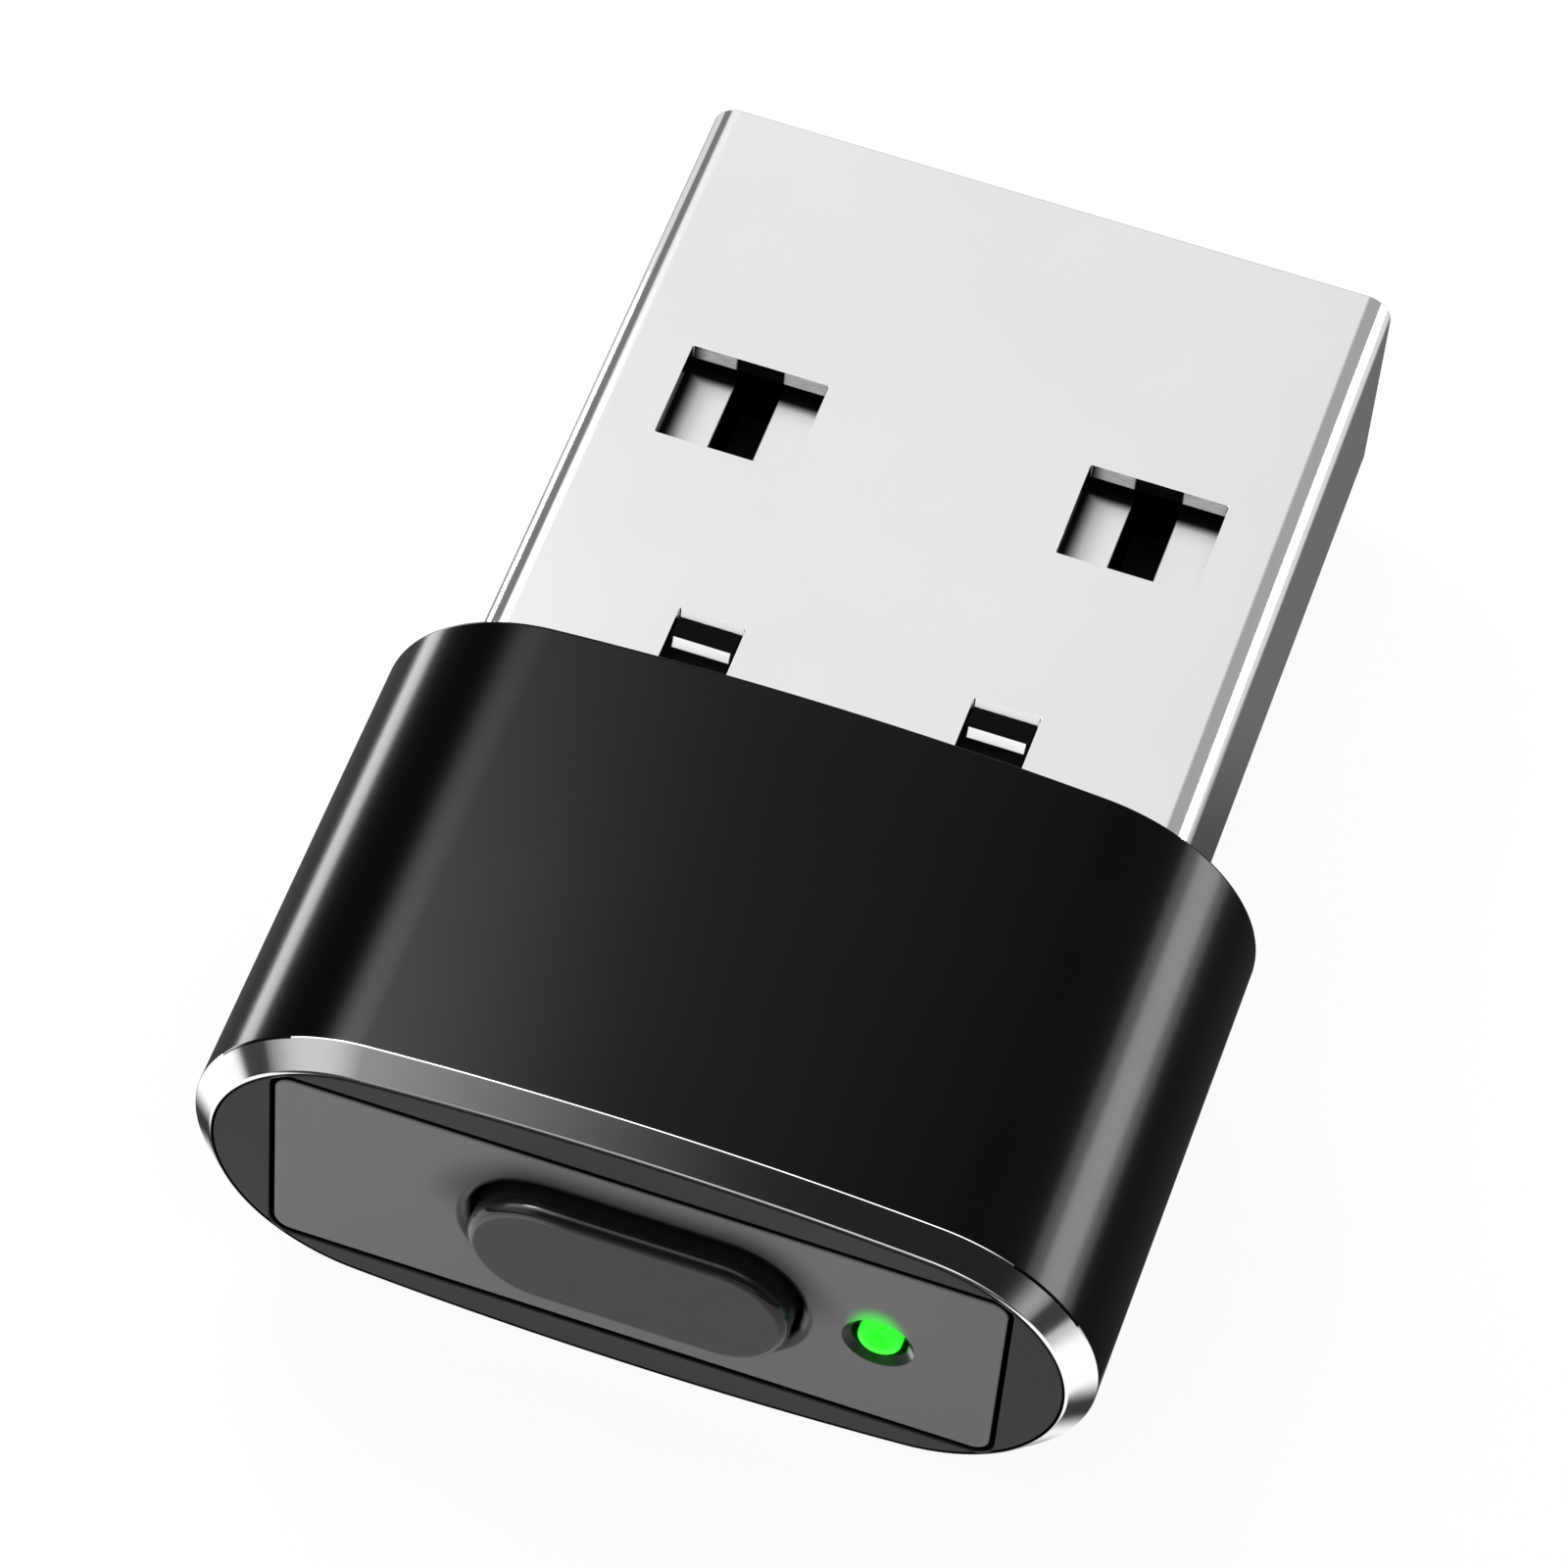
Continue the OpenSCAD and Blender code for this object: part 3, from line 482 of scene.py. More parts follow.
def plateSkin(sheet):
    size = plateSize
    place, x, y, z = sheet.spot()
    cloud = sheet.noise(place, 0.4, 2)
    grain = sheet.noise(place, 30, 4)
    # painted shade: darker above the button's opening and towards the right, dark on the lip, and black below
    # the face, where the gaps are, and in the countersink
    beside = sheet.larger(sheet.absolute(x) - size["buttonHalf"], 0)
    fromHole = (beside ** 2 + z ** 2) ** 0.5 - size["holeR"]
    shade = sheet.ease(fromHole, *size["shade"]) * sheet.ease(z, *size["shadeUp"])
    lip = sheet.ease(fromHole, *size["lipShadeRim"])
    depth = sheet.ease(y, *size["gapShadeBack"])
    away = ((x - size["lightX"]) ** 2 + z ** 2) ** 0.5
    sink = sheet.ease(away, *size["sinkRim"]) * sheet.ease(y, *size["sinkBack"])
    base = sheet.blend(cloud, gray(size["tone"] * 0.96), gray(size["tone"] * 1.04))
    base = sheet.blend(shade * 0.93, base, gray(0.02))
    base = sheet.blend(sheet.ease(x, *size["shadeToRight"]) * 0.13, base, gray(0.02))
    base = sheet.blend(lip, base, gray(0.011))
    base = sheet.blend(sheet.larger(depth, sink), base, gray(0.003))
    # painted highlights: pale glints at the right of the sink and at the ends of the button's opening
    aside = x - size["lightX"]
    right, up = size["glintAt"]
    glint = sheet.ease(((aside - right) ** 2 + (z - up) ** 2) ** 0.5, *size["glint"]) * sink
    base = sheet.blend(glint * 0.8, base, gray(0.6))
    endGlint = sheet.slab(fromHole, *size["endGlint"]) * sheet.slab(z, *size["endGlintUp"])
    endGlint = endGlint * (0.3 + 0.7 * sheet.ease(x, 0, 1)) * sheet.ease(beside, *size["endGlintFrom"])
    base = sheet.blend(endGlint, base, gray(0.28))
    # painted glow: green emission and tint on the plate round the lens, mostly upwards, and a little in the
    # sink
    right, up = size["haloAt"]
    wide, tall = size["haloHalf"]
    halo = (((aside - right) / wide) ** 2 + ((z - up) / tall) ** 2) ** 0.5
    above = sheet.ease(halo, *size["halo"]) * sheet.ease(z, *size["haloUp"])
    low = sheet.ease(sheet.absolute(aside), *size["lowGlow"])
    base = sheet.blend(above * 0.85, base, (0.02, 0.16, 0.02))
    glow = 0.95 * above + sink * (0.008 + 0.05 * low) * (1 - glint)
    return {
        "Base Color": base,
        "Roughness": 0.42 + 0.12 * (grain - 0.5) - 0.2 * lip,
        "Normal": sheet.bump(grain, 0.1, 0.006),
        "Emission Color": sheet.blend(glow, (0, 0, 0), (0.02, 0.75, 0.03)),
    }


def makePlate():
    size, end = plateSize, casingSize["length"]
    e, lip = size["edge"], size["lip"]
    floor = end - size["thick"]
    bm = bmesh.new()
    shrink = [(0, floor), (0, end - e), (e * 0.13, end - e * 0.5), (e * 0.5, end - e * 0.13), (e, end)]
    outline = [placed(boxLoop(size["width"] - 2 * g, size["height"] - 2 * g, size["corner"] - g), depth)
               for g, depth in shrink]
    outerRows, _ = wall(bm, outline)
    mouth = [(size["holeR"], floor)]
    mouth += [(size["holeR"] + lip - lip * cos(radians(a)), end - lip + lip * sin(radians(a)))
              for a in range(0, 91, 9)]
    mouthRows, _ = wall(bm, [placed(stadiumLoop(size["buttonHalf"], r, 40), depth) for r, depth in mouth])
    sink = [(size["lightHole"], floor), (size["lightHole"], end - size["lensDepth"])]
    sink += [(size["countersink"] + outward, end - deep) for outward, deep in size["sinkEdge"]]
    sinkRows, _ = wall(bm, [placed(ringLoop(size["lightX"], r), depth) for r, depth in sink])
    fillBetween(bm, outerRows[-1], mouthRows[-1], sinkRows[-1])
    fillBetween(bm, outerRows[0], mouthRows[0], sinkRows[0])
    skin = finishOf("plate_grey", plateSkin, {"Emission Strength": 1.0, "Specular IOR Level": 0.3})
    finished(meshFrom(bm, "face_plate_satin"), "housing", [skin], ["face_plate"])


makeFrame()
makePlate()
print("button end made")


buttonSize = {
    "half": 1.43, "r": 1.22, "out": 0.41, "edge": (0.18, 0.18),
    "faceHalf": 1.43, "faceR": 1.06, "faceLow": 0.04,  # outline of the dull face
    "faceEdge": (0.03, 0.0), "faceFront": (-9.2, -9.25), "glossLeft": (-0.9, -1.6), "glossUp": (-0.3, 0.2),
    "flangeOut": 0.28, "flange": (7.03, 7.48), "pusherR": 0.8, "pusherTip": 6.78, "pusherEdge": 0.03,
}


def buttonSkin(sheet):
    # the face is dull, and the rounded edge behind it is polished and painted dark as shade
    place, x, y, z = sheet.spot()
    beside = sheet.larger(sheet.absolute(x) - buttonSize["faceHalf"], 0)
    out = (beside ** 2 + (z + buttonSize["faceLow"]) ** 2) ** 0.5 - buttonSize["faceR"]
    face = sheet.ease(out, *buttonSize["faceEdge"]) * sheet.ease(y, *buttonSize["faceFront"])
    gloss = sheet.ease(x, *buttonSize["glossLeft"]) * sheet.ease(z, *buttonSize["glossUp"])
    grain = sheet.noise(place, 34, 4)
    edge = sheet.noise(place, 3, 2)
    base = sheet.blend(face, gray(0.01), sheet.blend(edge, gray(0.044), gray(0.049)))
    return {
        "Base Color": base,
        "Roughness": 0.1 + 0.4 * face + 0.05 * (grain - 0.5),
        "Coat Weight": (1 - face) * (0.12 + 0.88 * gloss),
        "Normal": sheet.bump(grain * face, 0.1, 0.005),
    }


def makeButton():
    size = buttonSize
    face = casingSize["length"] + size["out"]
    wide, deep = size["edge"]
    low, high = size["flange"]
    section = [(size["r"] + size["flangeOut"], low), (size["r"] + size["flangeOut"], high), (size["r"], high)]
    section += [(size["r"] - wide + wide * cos(radians(a)), face - deep + deep * sin(radians(a)))
                for a in range(0, 91, 6)]
    bm = bmesh.new()
    rows, _ = wall(bm, [placed(stadiumLoop(size["half"], r, 40), depth) for r, depth in section])
    fillBetween(bm, rows[-1])
    r, tip, e = size["pusherR"], size["pusherTip"], size["pusherEdge"]
    pusher = [(r, low), (r, tip + e), (r - e, tip)]
    pusherRows, _ = wall(bm, [placed(ringLoop(0, r), depth) for r, depth in pusher])
    fillBetween(bm, pusherRows[-1])
    fillBetween(bm, rows[0], pusherRows[0])
    skin = finishOf("button_dark", buttonSkin, {"Specular IOR Level": 0.2, "Coat Roughness": 0.06})
    finished(meshFrom(bm, "button_key"), "button", [skin], ["button_cap"])


makeButton()
print("button made")


lensSize = {
    "r": 0.45, "tipR": 0.36, "tip": 0.42, "tipStep": 0.02, "dome": 0.18, "out": 0.19,
    "footFrom": 7.18, "footTo": 7.48, "footWidth": 1.2, "footLow": -0.98, "footHigh": 0.55,
    "core": (0.4, 0.12), "lit": (-8.68, -8.82),  # where the light is clearest, and how far back it goes
}


def litLens(sheet):
    place, x, y, z = sheet.spot()
    away = ((x - plateSize["lightX"]) ** 2 + z ** 2) ** 0.5
    core = sheet.ease(away, *lensSize["core"])
    lit = sheet.ease(y, *lensSize["lit"])
    haze = sheet.noise(place, 6, 2)
    glow = sheet.blend(core * (0.9 + 0.2 * haze), (0.032, 0.62, 0.03), (0.006, 0.72, 0.001))
    return {
        "Emission Color": sheet.blend(lit, (0.001, 0.03, 0.001), glow),
        "Roughness": 0.12 + 0.08 * haze,
    }


def makeLens():
    size = lensSize
    face = casingSize["length"] - plateSize["lensDepth"] + size["out"]
    x = plateSize["lightX"]
    section = [(size["r"], size["footFrom"]), (size["r"], face - size["tip"]),
               (size["tipR"], face - size["tip"] + size["tipStep"]), (size["tipR"], face - size["dome"])]
    section += [(size["tipR"] * cos(radians(a)), face - size["dome"] + size["dome"] * sin(radians(a)))
                for a in range(9, 82, 9)]
    bm = bmesh.new()
    rows, _ = wall(bm, [placed(ringLoop(x, r), depth) for r, depth in section])
    tip = bm.verts.new((x, -face, 0))
    for i in range(len(rows[-1])):
        bm.faces.new((rows[-1][i], rows[-1][(i + 1) % len(rows[-1])], tip))
    fillBetween(bm, rows[0])
    lens = meshFrom(bm, "status_lens")
    half = size["footWidth"] / 2
    foot = blockOf("foot", (x - half, x + half), (size["footLow"], size["footHigh"]),
                   (size["footFrom"], size["footTo"]))
    cutBy(lens, [foot], "UNION")
    skin = finishOf("lit_green", litLens, {
        "Base Color": (0.0, 0.06, 0.003), "Emission Strength": 1.5, "Specular IOR Level": 0.15,
    })
    finished(lens, "housing", [skin], ["light_pipe"])


makeLens()
print("status light made")


plugSize = {
    "width": 12.0, "height": 4.5, "corner": 0.45, "sheet": 0.3, "length": 12.1, "inside": 2.6,
    "tipEdge": 0.05, "holeEdge": 0.025, "holeCorner": 0.04,
    "windowX": 3.46, "windowWidth": 2.38, "windowFrom": -6.94, "windowLength": 1.95,
    "notchX": 2.5, "notchWidth": 1.14, "notchFrom": -1.71, "notchTo": 0.35,
    "legLength": 1.6, "legLow": -1.55, "legHigh": -0.55, "legInto": 0.2, "seam": 0.05,
    "seamKey": ((0, -13.1), (0, -6.85), (1.1, -7.15), (1.1, -4.95), (0, -5.25), (0, 3.6)),
    "levels": ((-3, 0), (0, 3)), "seamLevels": (-3, -1.6),
    # where the cut edges that face the button's end lie, and how far a normal leans back on them
    "shearedTo": 5.5, "shearedFrom": (-1, 8), "shearedUnder": 0.012, "shearedLean": -0.9,
    "behindNotch": (3, 2.5), "besideSlot": (0.44, 0.4), "leftShade": ((-0.5, -0.45), (0.02, 0.3)),
}

tongueSize = {
    "half": 5.67, "top": 1.92, "under": 0.0, "front": -11.75, "blockOut": 2.6, "lead": 0.3, "corner": 0.15,
    "rootHalf": 4.26, "rootFrom": 0.17, "rootTo": 1.17, "rootEnd": 0.6,
    "reliefDepth": 0.26, "reliefSide": 0.2, "reliefAhead": 0.5, "slotWidth": 0.78, "slotBehind": 0.8,
    "contactX": (3.46, 1.0), "contactFrom": (-10.92, -9.92), "contactHalf": 0.42, "contactTop": 0.17,
    "edge": 0.03, "rootBehind": 0.4,
    "windowLevel": ((1.3, 1.5), (1.8, 1.9)), "farShade": (0.3, 0.1),
    "slotShadeAcross": (0.415, 0.4), "slotShadeLevel": ((0.1, 0.14), (1.64, 1.68)),
    "slotShadeAlong": ((3.9, 4.1), (7.9, 8.1)),
}


def platedSteel(sheet):
    place = sheet.millimetres()
    brushed = sheet.noise(sheet.millimetres((1, 0.06, 1)), 26, 3)
    cloud = sheet.noise(place, 0.22, 2)
    return {
        "Base Color": sheet.blend(cloud, (0.775, 0.775, 0.78), (0.83, 0.83, 0.835)),
        "Roughness": 0.07 + 0.04 * brushed + 0.02 * cloud,
        "Normal": sheet.bump(brushed, 0.02, 0.002),
    }


def leftShade(sheet, x):
    # the shaded stretch along the left edge of both windows
    shade = 0
    for centre in (-plugSize["windowX"], plugSize["windowX"]):
        edge = centre - plugSize["windowWidth"] / 2
        rise, fall = (tuple(edge + part for part in pair) for pair in plugSize["leftShade"])
        shade = sheet.slab(x, rise, fall) + shade
    return shade


def shearedEdge(sheet):
    # the cut edges of the holes: rough, pale as a painted highlight in the notches, black beside the slots as
    # a painted reflection of them, and black at the left of the windows as painted shade
    place, x, y, z = sheet.spot()
    streak = sheet.noise(sheet.millimetres((1, 1, 9)), 5, 3)
    fine = sheet.noise(sheet.millimetres((9, 1, 1)), 6, 2)
    notch = sheet.ease(y, *plugSize["behindNotch"])
    across = sheet.absolute(sheet.absolute(x) - tongueSize["contactX"][0])
    slot = sheet.ease(across, *plugSize["besideSlot"]) * (1 - notch)
    tone = sheet.blend(streak, gray(0.12), gray(0.46))
    tone = sheet.blend(notch, tone, gray(0.93))
    dark = sheet.larger(slot, leftShade(sheet, x) * (1 - notch))
    return {
        "Base Color": sheet.blend(dark, tone, gray(0.002)),
        "Roughness": 0.45 + 0.2 * fine,
        "Normal": sheet.bump(streak, 0.2, 0.01),
    }


def makeShell():
    size = plugSize
    t, r = size["sheet"], size["corner"]
    tip, e = -size["length"], size["tipEdge"]

    def rim(inset, depth):
        return placed(boxLoop(size["width"] - 2 * inset, size["height"] - 2 * inset, r - inset, 14), depth)

    section = [(0, size["inside"]), (0, tip + e)]
    section += [(e - e * cos(radians(a)), tip + e - e * sin(radians(a))) for a in (22.5, 45, 67.5, 90)]
    section += [(t - e + e * sin(radians(a)), tip + e - e * cos(radians(a))) for a in (0, 22.5, 45, 67.5)]
    section += [(t, tip + e), (t, size["inside"])]
    bm = bmesh.new()
    wall(bm, [rim(inset, depth) for inset, depth in section], closed=True)
    shell = meshFrom(bm, "plug_shell_sheet")
    cutters = []
    spans = {"window": (size["windowFrom"], size["windowFrom"] + size["windowLength"]),
             "notch": (size["notchFrom"], size["notchTo"])}
    for side in (-1, 1):
        across = sorted((side * (size["width"] / 2 - t), side * size["width"] / 2))
        leg = blockOf("leg", across, (size["legLow"], size["legHigh"]),
                      (size["inside"] - size["legInto"], size["inside"] + size["legLength"]))
        cutBy(shell, [leg], "UNION")
        for level in size["levels"]:
            for kind, span in spans.items():
                x, half = side * size[kind + "X"], size[kind + "Width"] / 2
                cutters.append(blockOf(kind, (x - half, x + half), level, span, size["holeCorner"]))
    key = size["seamKey"]
    half = size["seam"] / 2
    for (x0, d0), (x1, d1) in zip(key, key[1:]):
        run = Vector((x1 - x0, d1 - d0))
        side = Vector((-run.y, run.x)).normalized() * half
        on = run.normalized() * half
        corners = [Vector((x0, d0)) - on + side, Vector((x1, d1)) + on + side,
                   Vector((x1, d1)) + on - side, Vector((x0, d0)) - on - side]
        bm = bmesh.new()
        capped(bm, [[(c.x, -c.y, level) for c in corners] for level in size["seamLevels"]])
        cutters.append(meshFrom(bm, "seam"))
    cutBy(shell, cutters)
    rounded(shell, size["holeEdge"])
    near, far = size["shearedFrom"]
    for face in shell.data.polygons:
        x, y, z = face.center
        within = abs(x) < size["shearedTo"] and near < y < far
        sunk = abs(z) < size["height"] / 2 - size["shearedUnder"]
        face.material_index = int(within and sunk and face.normal.y < size["shearedLean"])
    skins = [finishOf("plated_steel", platedSteel, {"Metallic": 1.0}),
             finishOf("sheared_edge", shearedEdge, {"Specular IOR Level": 0.0})]
    finished(shell, "housing", skins, ["plug_shell"])


def paleMoulding(sheet):
    size = tongueSize
    place, x, y, z = sheet.spot()
    cloud = sheet.noise(place, 0.7, 2)
    grain = sheet.noise(place, 28, 3)
    # painted shade: the slots are painted black, and the recess darkens at its far and left edges
    across = sheet.absolute(sheet.absolute(x) - size["contactX"][0])
    inWindow = sheet.slab(z, *size["windowLevel"])
    slot = sheet.ease(across, *size["slotShadeAcross"]) * sheet.slab(z, *size["slotShadeLevel"])
    slot = slot * sheet.slab(y, *size["slotShadeAlong"])
    far = sheet.ease(y, *(-plugSize["windowFrom"] - ahead for ahead in size["farShade"]))
    shade = sheet.larger(far, leftShade(sheet, x)) * inWindow
    base = sheet.blend(cloud, (0.66, 0.66, 0.655), (0.71, 0.71, 0.705))
    base = sheet.blend(sheet.larger(slot, shade), base, gray(0.003))
    return {
        "Base Color": base,
        "Roughness": 0.42 + 0.1 * grain,
        "Normal": sheet.bump(grain, 0.05, 0.004),
    }


def makeTongue():
    size = tongueSize
    bm = bmesh.new()
    front, back = size["front"], -size["blockOut"]
    lead, top, under = size["lead"], size["top"], size["under"]
    side = [(under + lead, front), (top - lead / 2, front), (top, front + lead / 2),
            (top, back), (under, back), (under, front + lead)]
    capped(bm, [[(x, -d, z) for z, d in side] for x in (-size["half"], size["half"])])
    tongue = meshFrom(bm, "tongue_moulding")
    trim = solidOf("trim", boxLoop(2 * size["half"], 2 * top, size["corner"], 6), front - 1, back + 1)
    cutBy(tongue, [trim], "INTERSECT")
    root = blockOf("root", (-size["rootHalf"], size["rootHalf"]), (size["rootFrom"], size["rootTo"]),
                   (back - size["rootBehind"], size["rootEnd"]))
    cutBy(tongue, [root], "UNION")
    windowFrom, windowTo = plugSize["windowFrom"], plugSize["windowFrom"] + plugSize["windowLength"]
    cutters = []
    for s in (-1, 1):
        x, half = s * plugSize["windowX"], plugSize["windowWidth"] / 2 + size["reliefSide"]
        cutters.append(blockOf("relief", (x - half, x + half), (top - size["reliefDepth"], top + 1),
                               (windowFrom - size["reliefAhead"], windowTo + size["reliefSide"])))
        half = size["slotWidth"] / 2
        cutters.append(blockOf("slot", (x - half, x + half), (size["contactTop"], top + 1),
                               (windowFrom - size["reliefAhead"], windowTo + size["slotBehind"])))
        for x, start in zip(size["contactX"], size["contactFrom"]):
            half = size["contactHalf"]
            cutters.append(blockOf("channel", (s * x - half, s * x + half), (under - 1, size["contactTop"]),
                                   (start, 0)))
    cutBy(tongue, cutters)
    rounded(tongue, size["edge"])
    skin = finishOf("pale_moulding", paleMoulding, {"Specular IOR Level": 0.06})
    finished(tongue, "housing", [skin], ["plug_tongue"])


makeShell()
makeTongue()
print("plug made")


chassisSize = {
    "latchHalf": (0.49, 0.47), "latchAlong": ((1.03, 1.04), (1.155, 1.165)), "latchUp": (2.01, 2.03),
}


def chassisSkin(sheet):
    # black moulding, with a painted highlight: a bright band on the latch edge behind each nub
    size = chassisSize
    place, x, y, z = sheet.spot()
    grain = sheet.noise(place, 18, 3)
    across = sheet.absolute(sheet.absolute(x) - plugSize["notchX"])
    latchHighlight = sheet.ease(across, *size["latchHalf"]) * sheet.slab(y, *size["latchAlong"])
    latchHighlight = latchHighlight * sheet.ease(sheet.absolute(z), *size["latchUp"])
    return {
        "Base Color": sheet.blend(latchHighlight, sheet.blend(grain, gray(0.002), gray(0.004)), gray(0.8)),
        "Roughness": 0.22 + 0.1 * grain,
        "Normal": sheet.bump(grain, 0.05, 0.003),
    }


contactSize = {"upperShade": (0.12, 0.16)}


def contactSkin(sheet):
    # the upper side lies under the tongue's moulding and its slots, and is painted black there as shade
    place, x, y, z = sheet.spot()
    upperShade = sheet.ease(z, *contactSize["upperShade"])
    streak = sheet.noise(sheet.millimetres((1, 0.1, 1)), 18, 3)
    gold = sheet.blend(streak, (0.72, 0.49, 0.16), (0.85, 0.62, 0.25))
    return {
        "Base Color": sheet.blend(upperShade, gold, gray(0.01)),
        "Metallic": 1 - upperShade,
        "Roughness": 0.2 + 0.1 * streak + 0.5 * upperShade,
    }


boardSize = {"weave": 22.0, "lanes": 0.9, "run": (0.1, 0.06)}


def boardSkin(sheet):
    # solder mask over glass weave, with copper runs that show lighter through it
    place, x, y, z = sheet.spot()
    weaveX, weaveY = (sheet.add("ShaderNodeMath", {"operation": "SINE"}, {0: way * boardSize["weave"]})
                      for way in (x, y))
    weave = weaveX * weaveY
    lane = sheet.add("ShaderNodeTexVoronoi", {"distance": "CHEBYCHEV", "feature": "DISTANCE_TO_EDGE"},
                     {"Vector": place, "Scale": boardSize["lanes"]}, "Distance")
    run = sheet.ease(lane, *boardSize["run"])
    base = sheet.blend(run, (0.008, 0.09, 0.03), (0.02, 0.17, 0.07))
    return {
        "Base Color": base,
        "Roughness": 0.3 + 0.03 * weave,
        "Normal": sheet.bump(run + 0.15 * weave, 0.2, 0.02),
    }


def metalOf(low, high, rough, brush=(1, 1, 1)):
    def paint(sheet):
        streak = sheet.noise(sheet.millimetres(brush), 18, 3)
        return {
            "Base Color": sheet.blend(streak, low, high),
            "Roughness": rough + 0.12 * streak,
            "Normal": sheet.bump(streak, 0.06, 0.003),
        }
    return paint


def moulded(low, high, rough):
    def paint(sheet):
        grain = sheet.noise(sheet.millimetres(), 20, 4)
        return {
            "Base Color": sheet.blend(grain, low, high),
            "Roughness": rough + 0.15 * (grain - 0.5),
            "Normal": sheet.bump(grain, 0.1, 0.005),
        }
    return paint


kept = {
    "black_moulding": (chassisSkin, {"Specular IOR Level": 0.0}, ["chassis"]),
    "gold_flash": (contactSkin, {"Specular IOR Level": 0.2},
                   ["contact_power", "contact_data_minus", "contact_data_plus", "contact_ground"]),
    "board_green": (boardSkin, {}, ["circuit_board"]),
    "chip_black": (moulded(gray(0.012), gray(0.02), 0.45), {}, ["microcontroller"]),
    "tinned": (metalOf(gray(0.6), gray(0.78), 0.25), {"Metallic": 1.0},
               ["controller_pads", "chip_end_caps", "switch_terminals"]),
    "drawn_can": (metalOf(gray(0.5), gray(0.62), 0.3, (1, 0.2, 1)), {"Metallic": 1.0}, ["crystal"]),
    "fired_ceramic": (moulded((0.2, 0.12, 0.06), (0.3, 0.18, 0.1), 0.5), {}, ["chip_capacitors"]),
    "resistor_glaze": (moulded(gray(0.01), gray(0.02), 0.3), {}, ["chip_resistors"]),
    "led_case": (moulded((0.74, 0.78, 0.66), (0.84, 0.86, 0.76), 0.35), {}, ["status_led"]),
    "switch_black": (moulded(gray(0.018), gray(0.028), 0.4), {}, ["switch_base"]),
    "cover_sheet": (metalOf(gray(0.5), gray(0.66), 0.28, (0.1, 1, 1)), {"Metallic": 1.0}, ["switch_cover"]),
    "spring_dome": (metalOf(gray(0.66), gray(0.8), 0.2), {"Metallic": 1.0}, ["switch_dome"]),
    "plunger_white": (moulded((0.72, 0.72, 0.7), (0.82, 0.82, 0.8), 0.4), {}, ["switch_plunger"]),
}
for finish, (skin, even, pieces) in kept.items():
    material = finishOf(finish, skin, even)
    for name in pieces:
        nodes[name].data.materials.clear()
        nodes[name].data.materials.append(material)
print("kept pieces finished, in", len(kept), "finishes")


studio = {
    "floorZ": -3.3, "floorSize": 1.5, "floorTone": 0.9, "floorTop": 2.5, "worldTop": 20.0,
    "floorShare": 0.93,       # how much of the floor's tone is the plain backdrop
    "fill": 0.62,             # even light on dull surfaces
    "poolTone": 1.05, "poolCentre": (-2, -14), "poolRadius": (17.5, 27), "poolBack": (-8.2, -5.2),
    "poolStretch": 0.2, "poolStretchFrom": (18, 26),
    "poolDip": ((7.3, 8.5), (9.0, 10.7)), "poolDipFrom": (-9.9, -9.4),
    "poolFoot": (7.7, 6.3), "poolShift": 0.2, "poolFootFrom": (-9.3, -8.9),
    "backTone": 0.28, "backSide": (8, 12.5), "backFrom": (8.5, 10.5),
    "floorDim": 0.04, "floorNear": 0.11, "floorFar": 0.5, "floorFade": (7.5, 13), "floorBehind": (-8, -4),
    "casingShade": (3.8, 7.5, 0.35, 1.0),
    "sky": 0.42, "frontDark": 0.012, "behindY": (-0.55, 0.25),
    "plateau": 0.55, "plateauFrom": (-0.68, -0.58), "plateauTo": (-0.12, 0.1),
    "hot": 16.0, "hotX": ((-0.66, -0.50), (-0.47, -0.14)), "hotY": ((-0.1, 0.12), (0.44, 0.61)),
    "skyDip": 0.5, "skyDipX": ((-0.92, -0.84), (-0.70, -0.58)),
    "zenith": 1.8, "zenithX": ((-0.95, -0.8), (0.38, 0.72)), "zenithY": ((-0.45, -0.25), (0.2, 0.4)),
    "left": 0.63, "leftX": (-0.05, -0.62), "leftY": (-0.2, -0.45), "leftZ": (-0.15, 0.28),
    "frontRight": {"aim": (0.715, -0.695, 0.075), "level": 0.36, "width": 130, "base": 2.718},
    "horizon": 1.3, "horizonX": ((-0.45, 0.25), (0.45, 0.6)), "horizonY": (-0.8, -0.9),
    "horizonZ": ((-0.02, 0.02), (0.18, 0.26)),
}


def toned(sheet, kind, tone, top):
    # a light of varying strength, from nought to its top
    dark = sheet.add(kind, None, {"Color": (0, 0, 0), "Strength": 1.0})
    full = sheet.add(kind, None, {"Color": (1, 1, 1), "Strength": top})
    return sheet.add("ShaderNodeMixShader", None, {0: tone / top, 1: dark, 2: full})


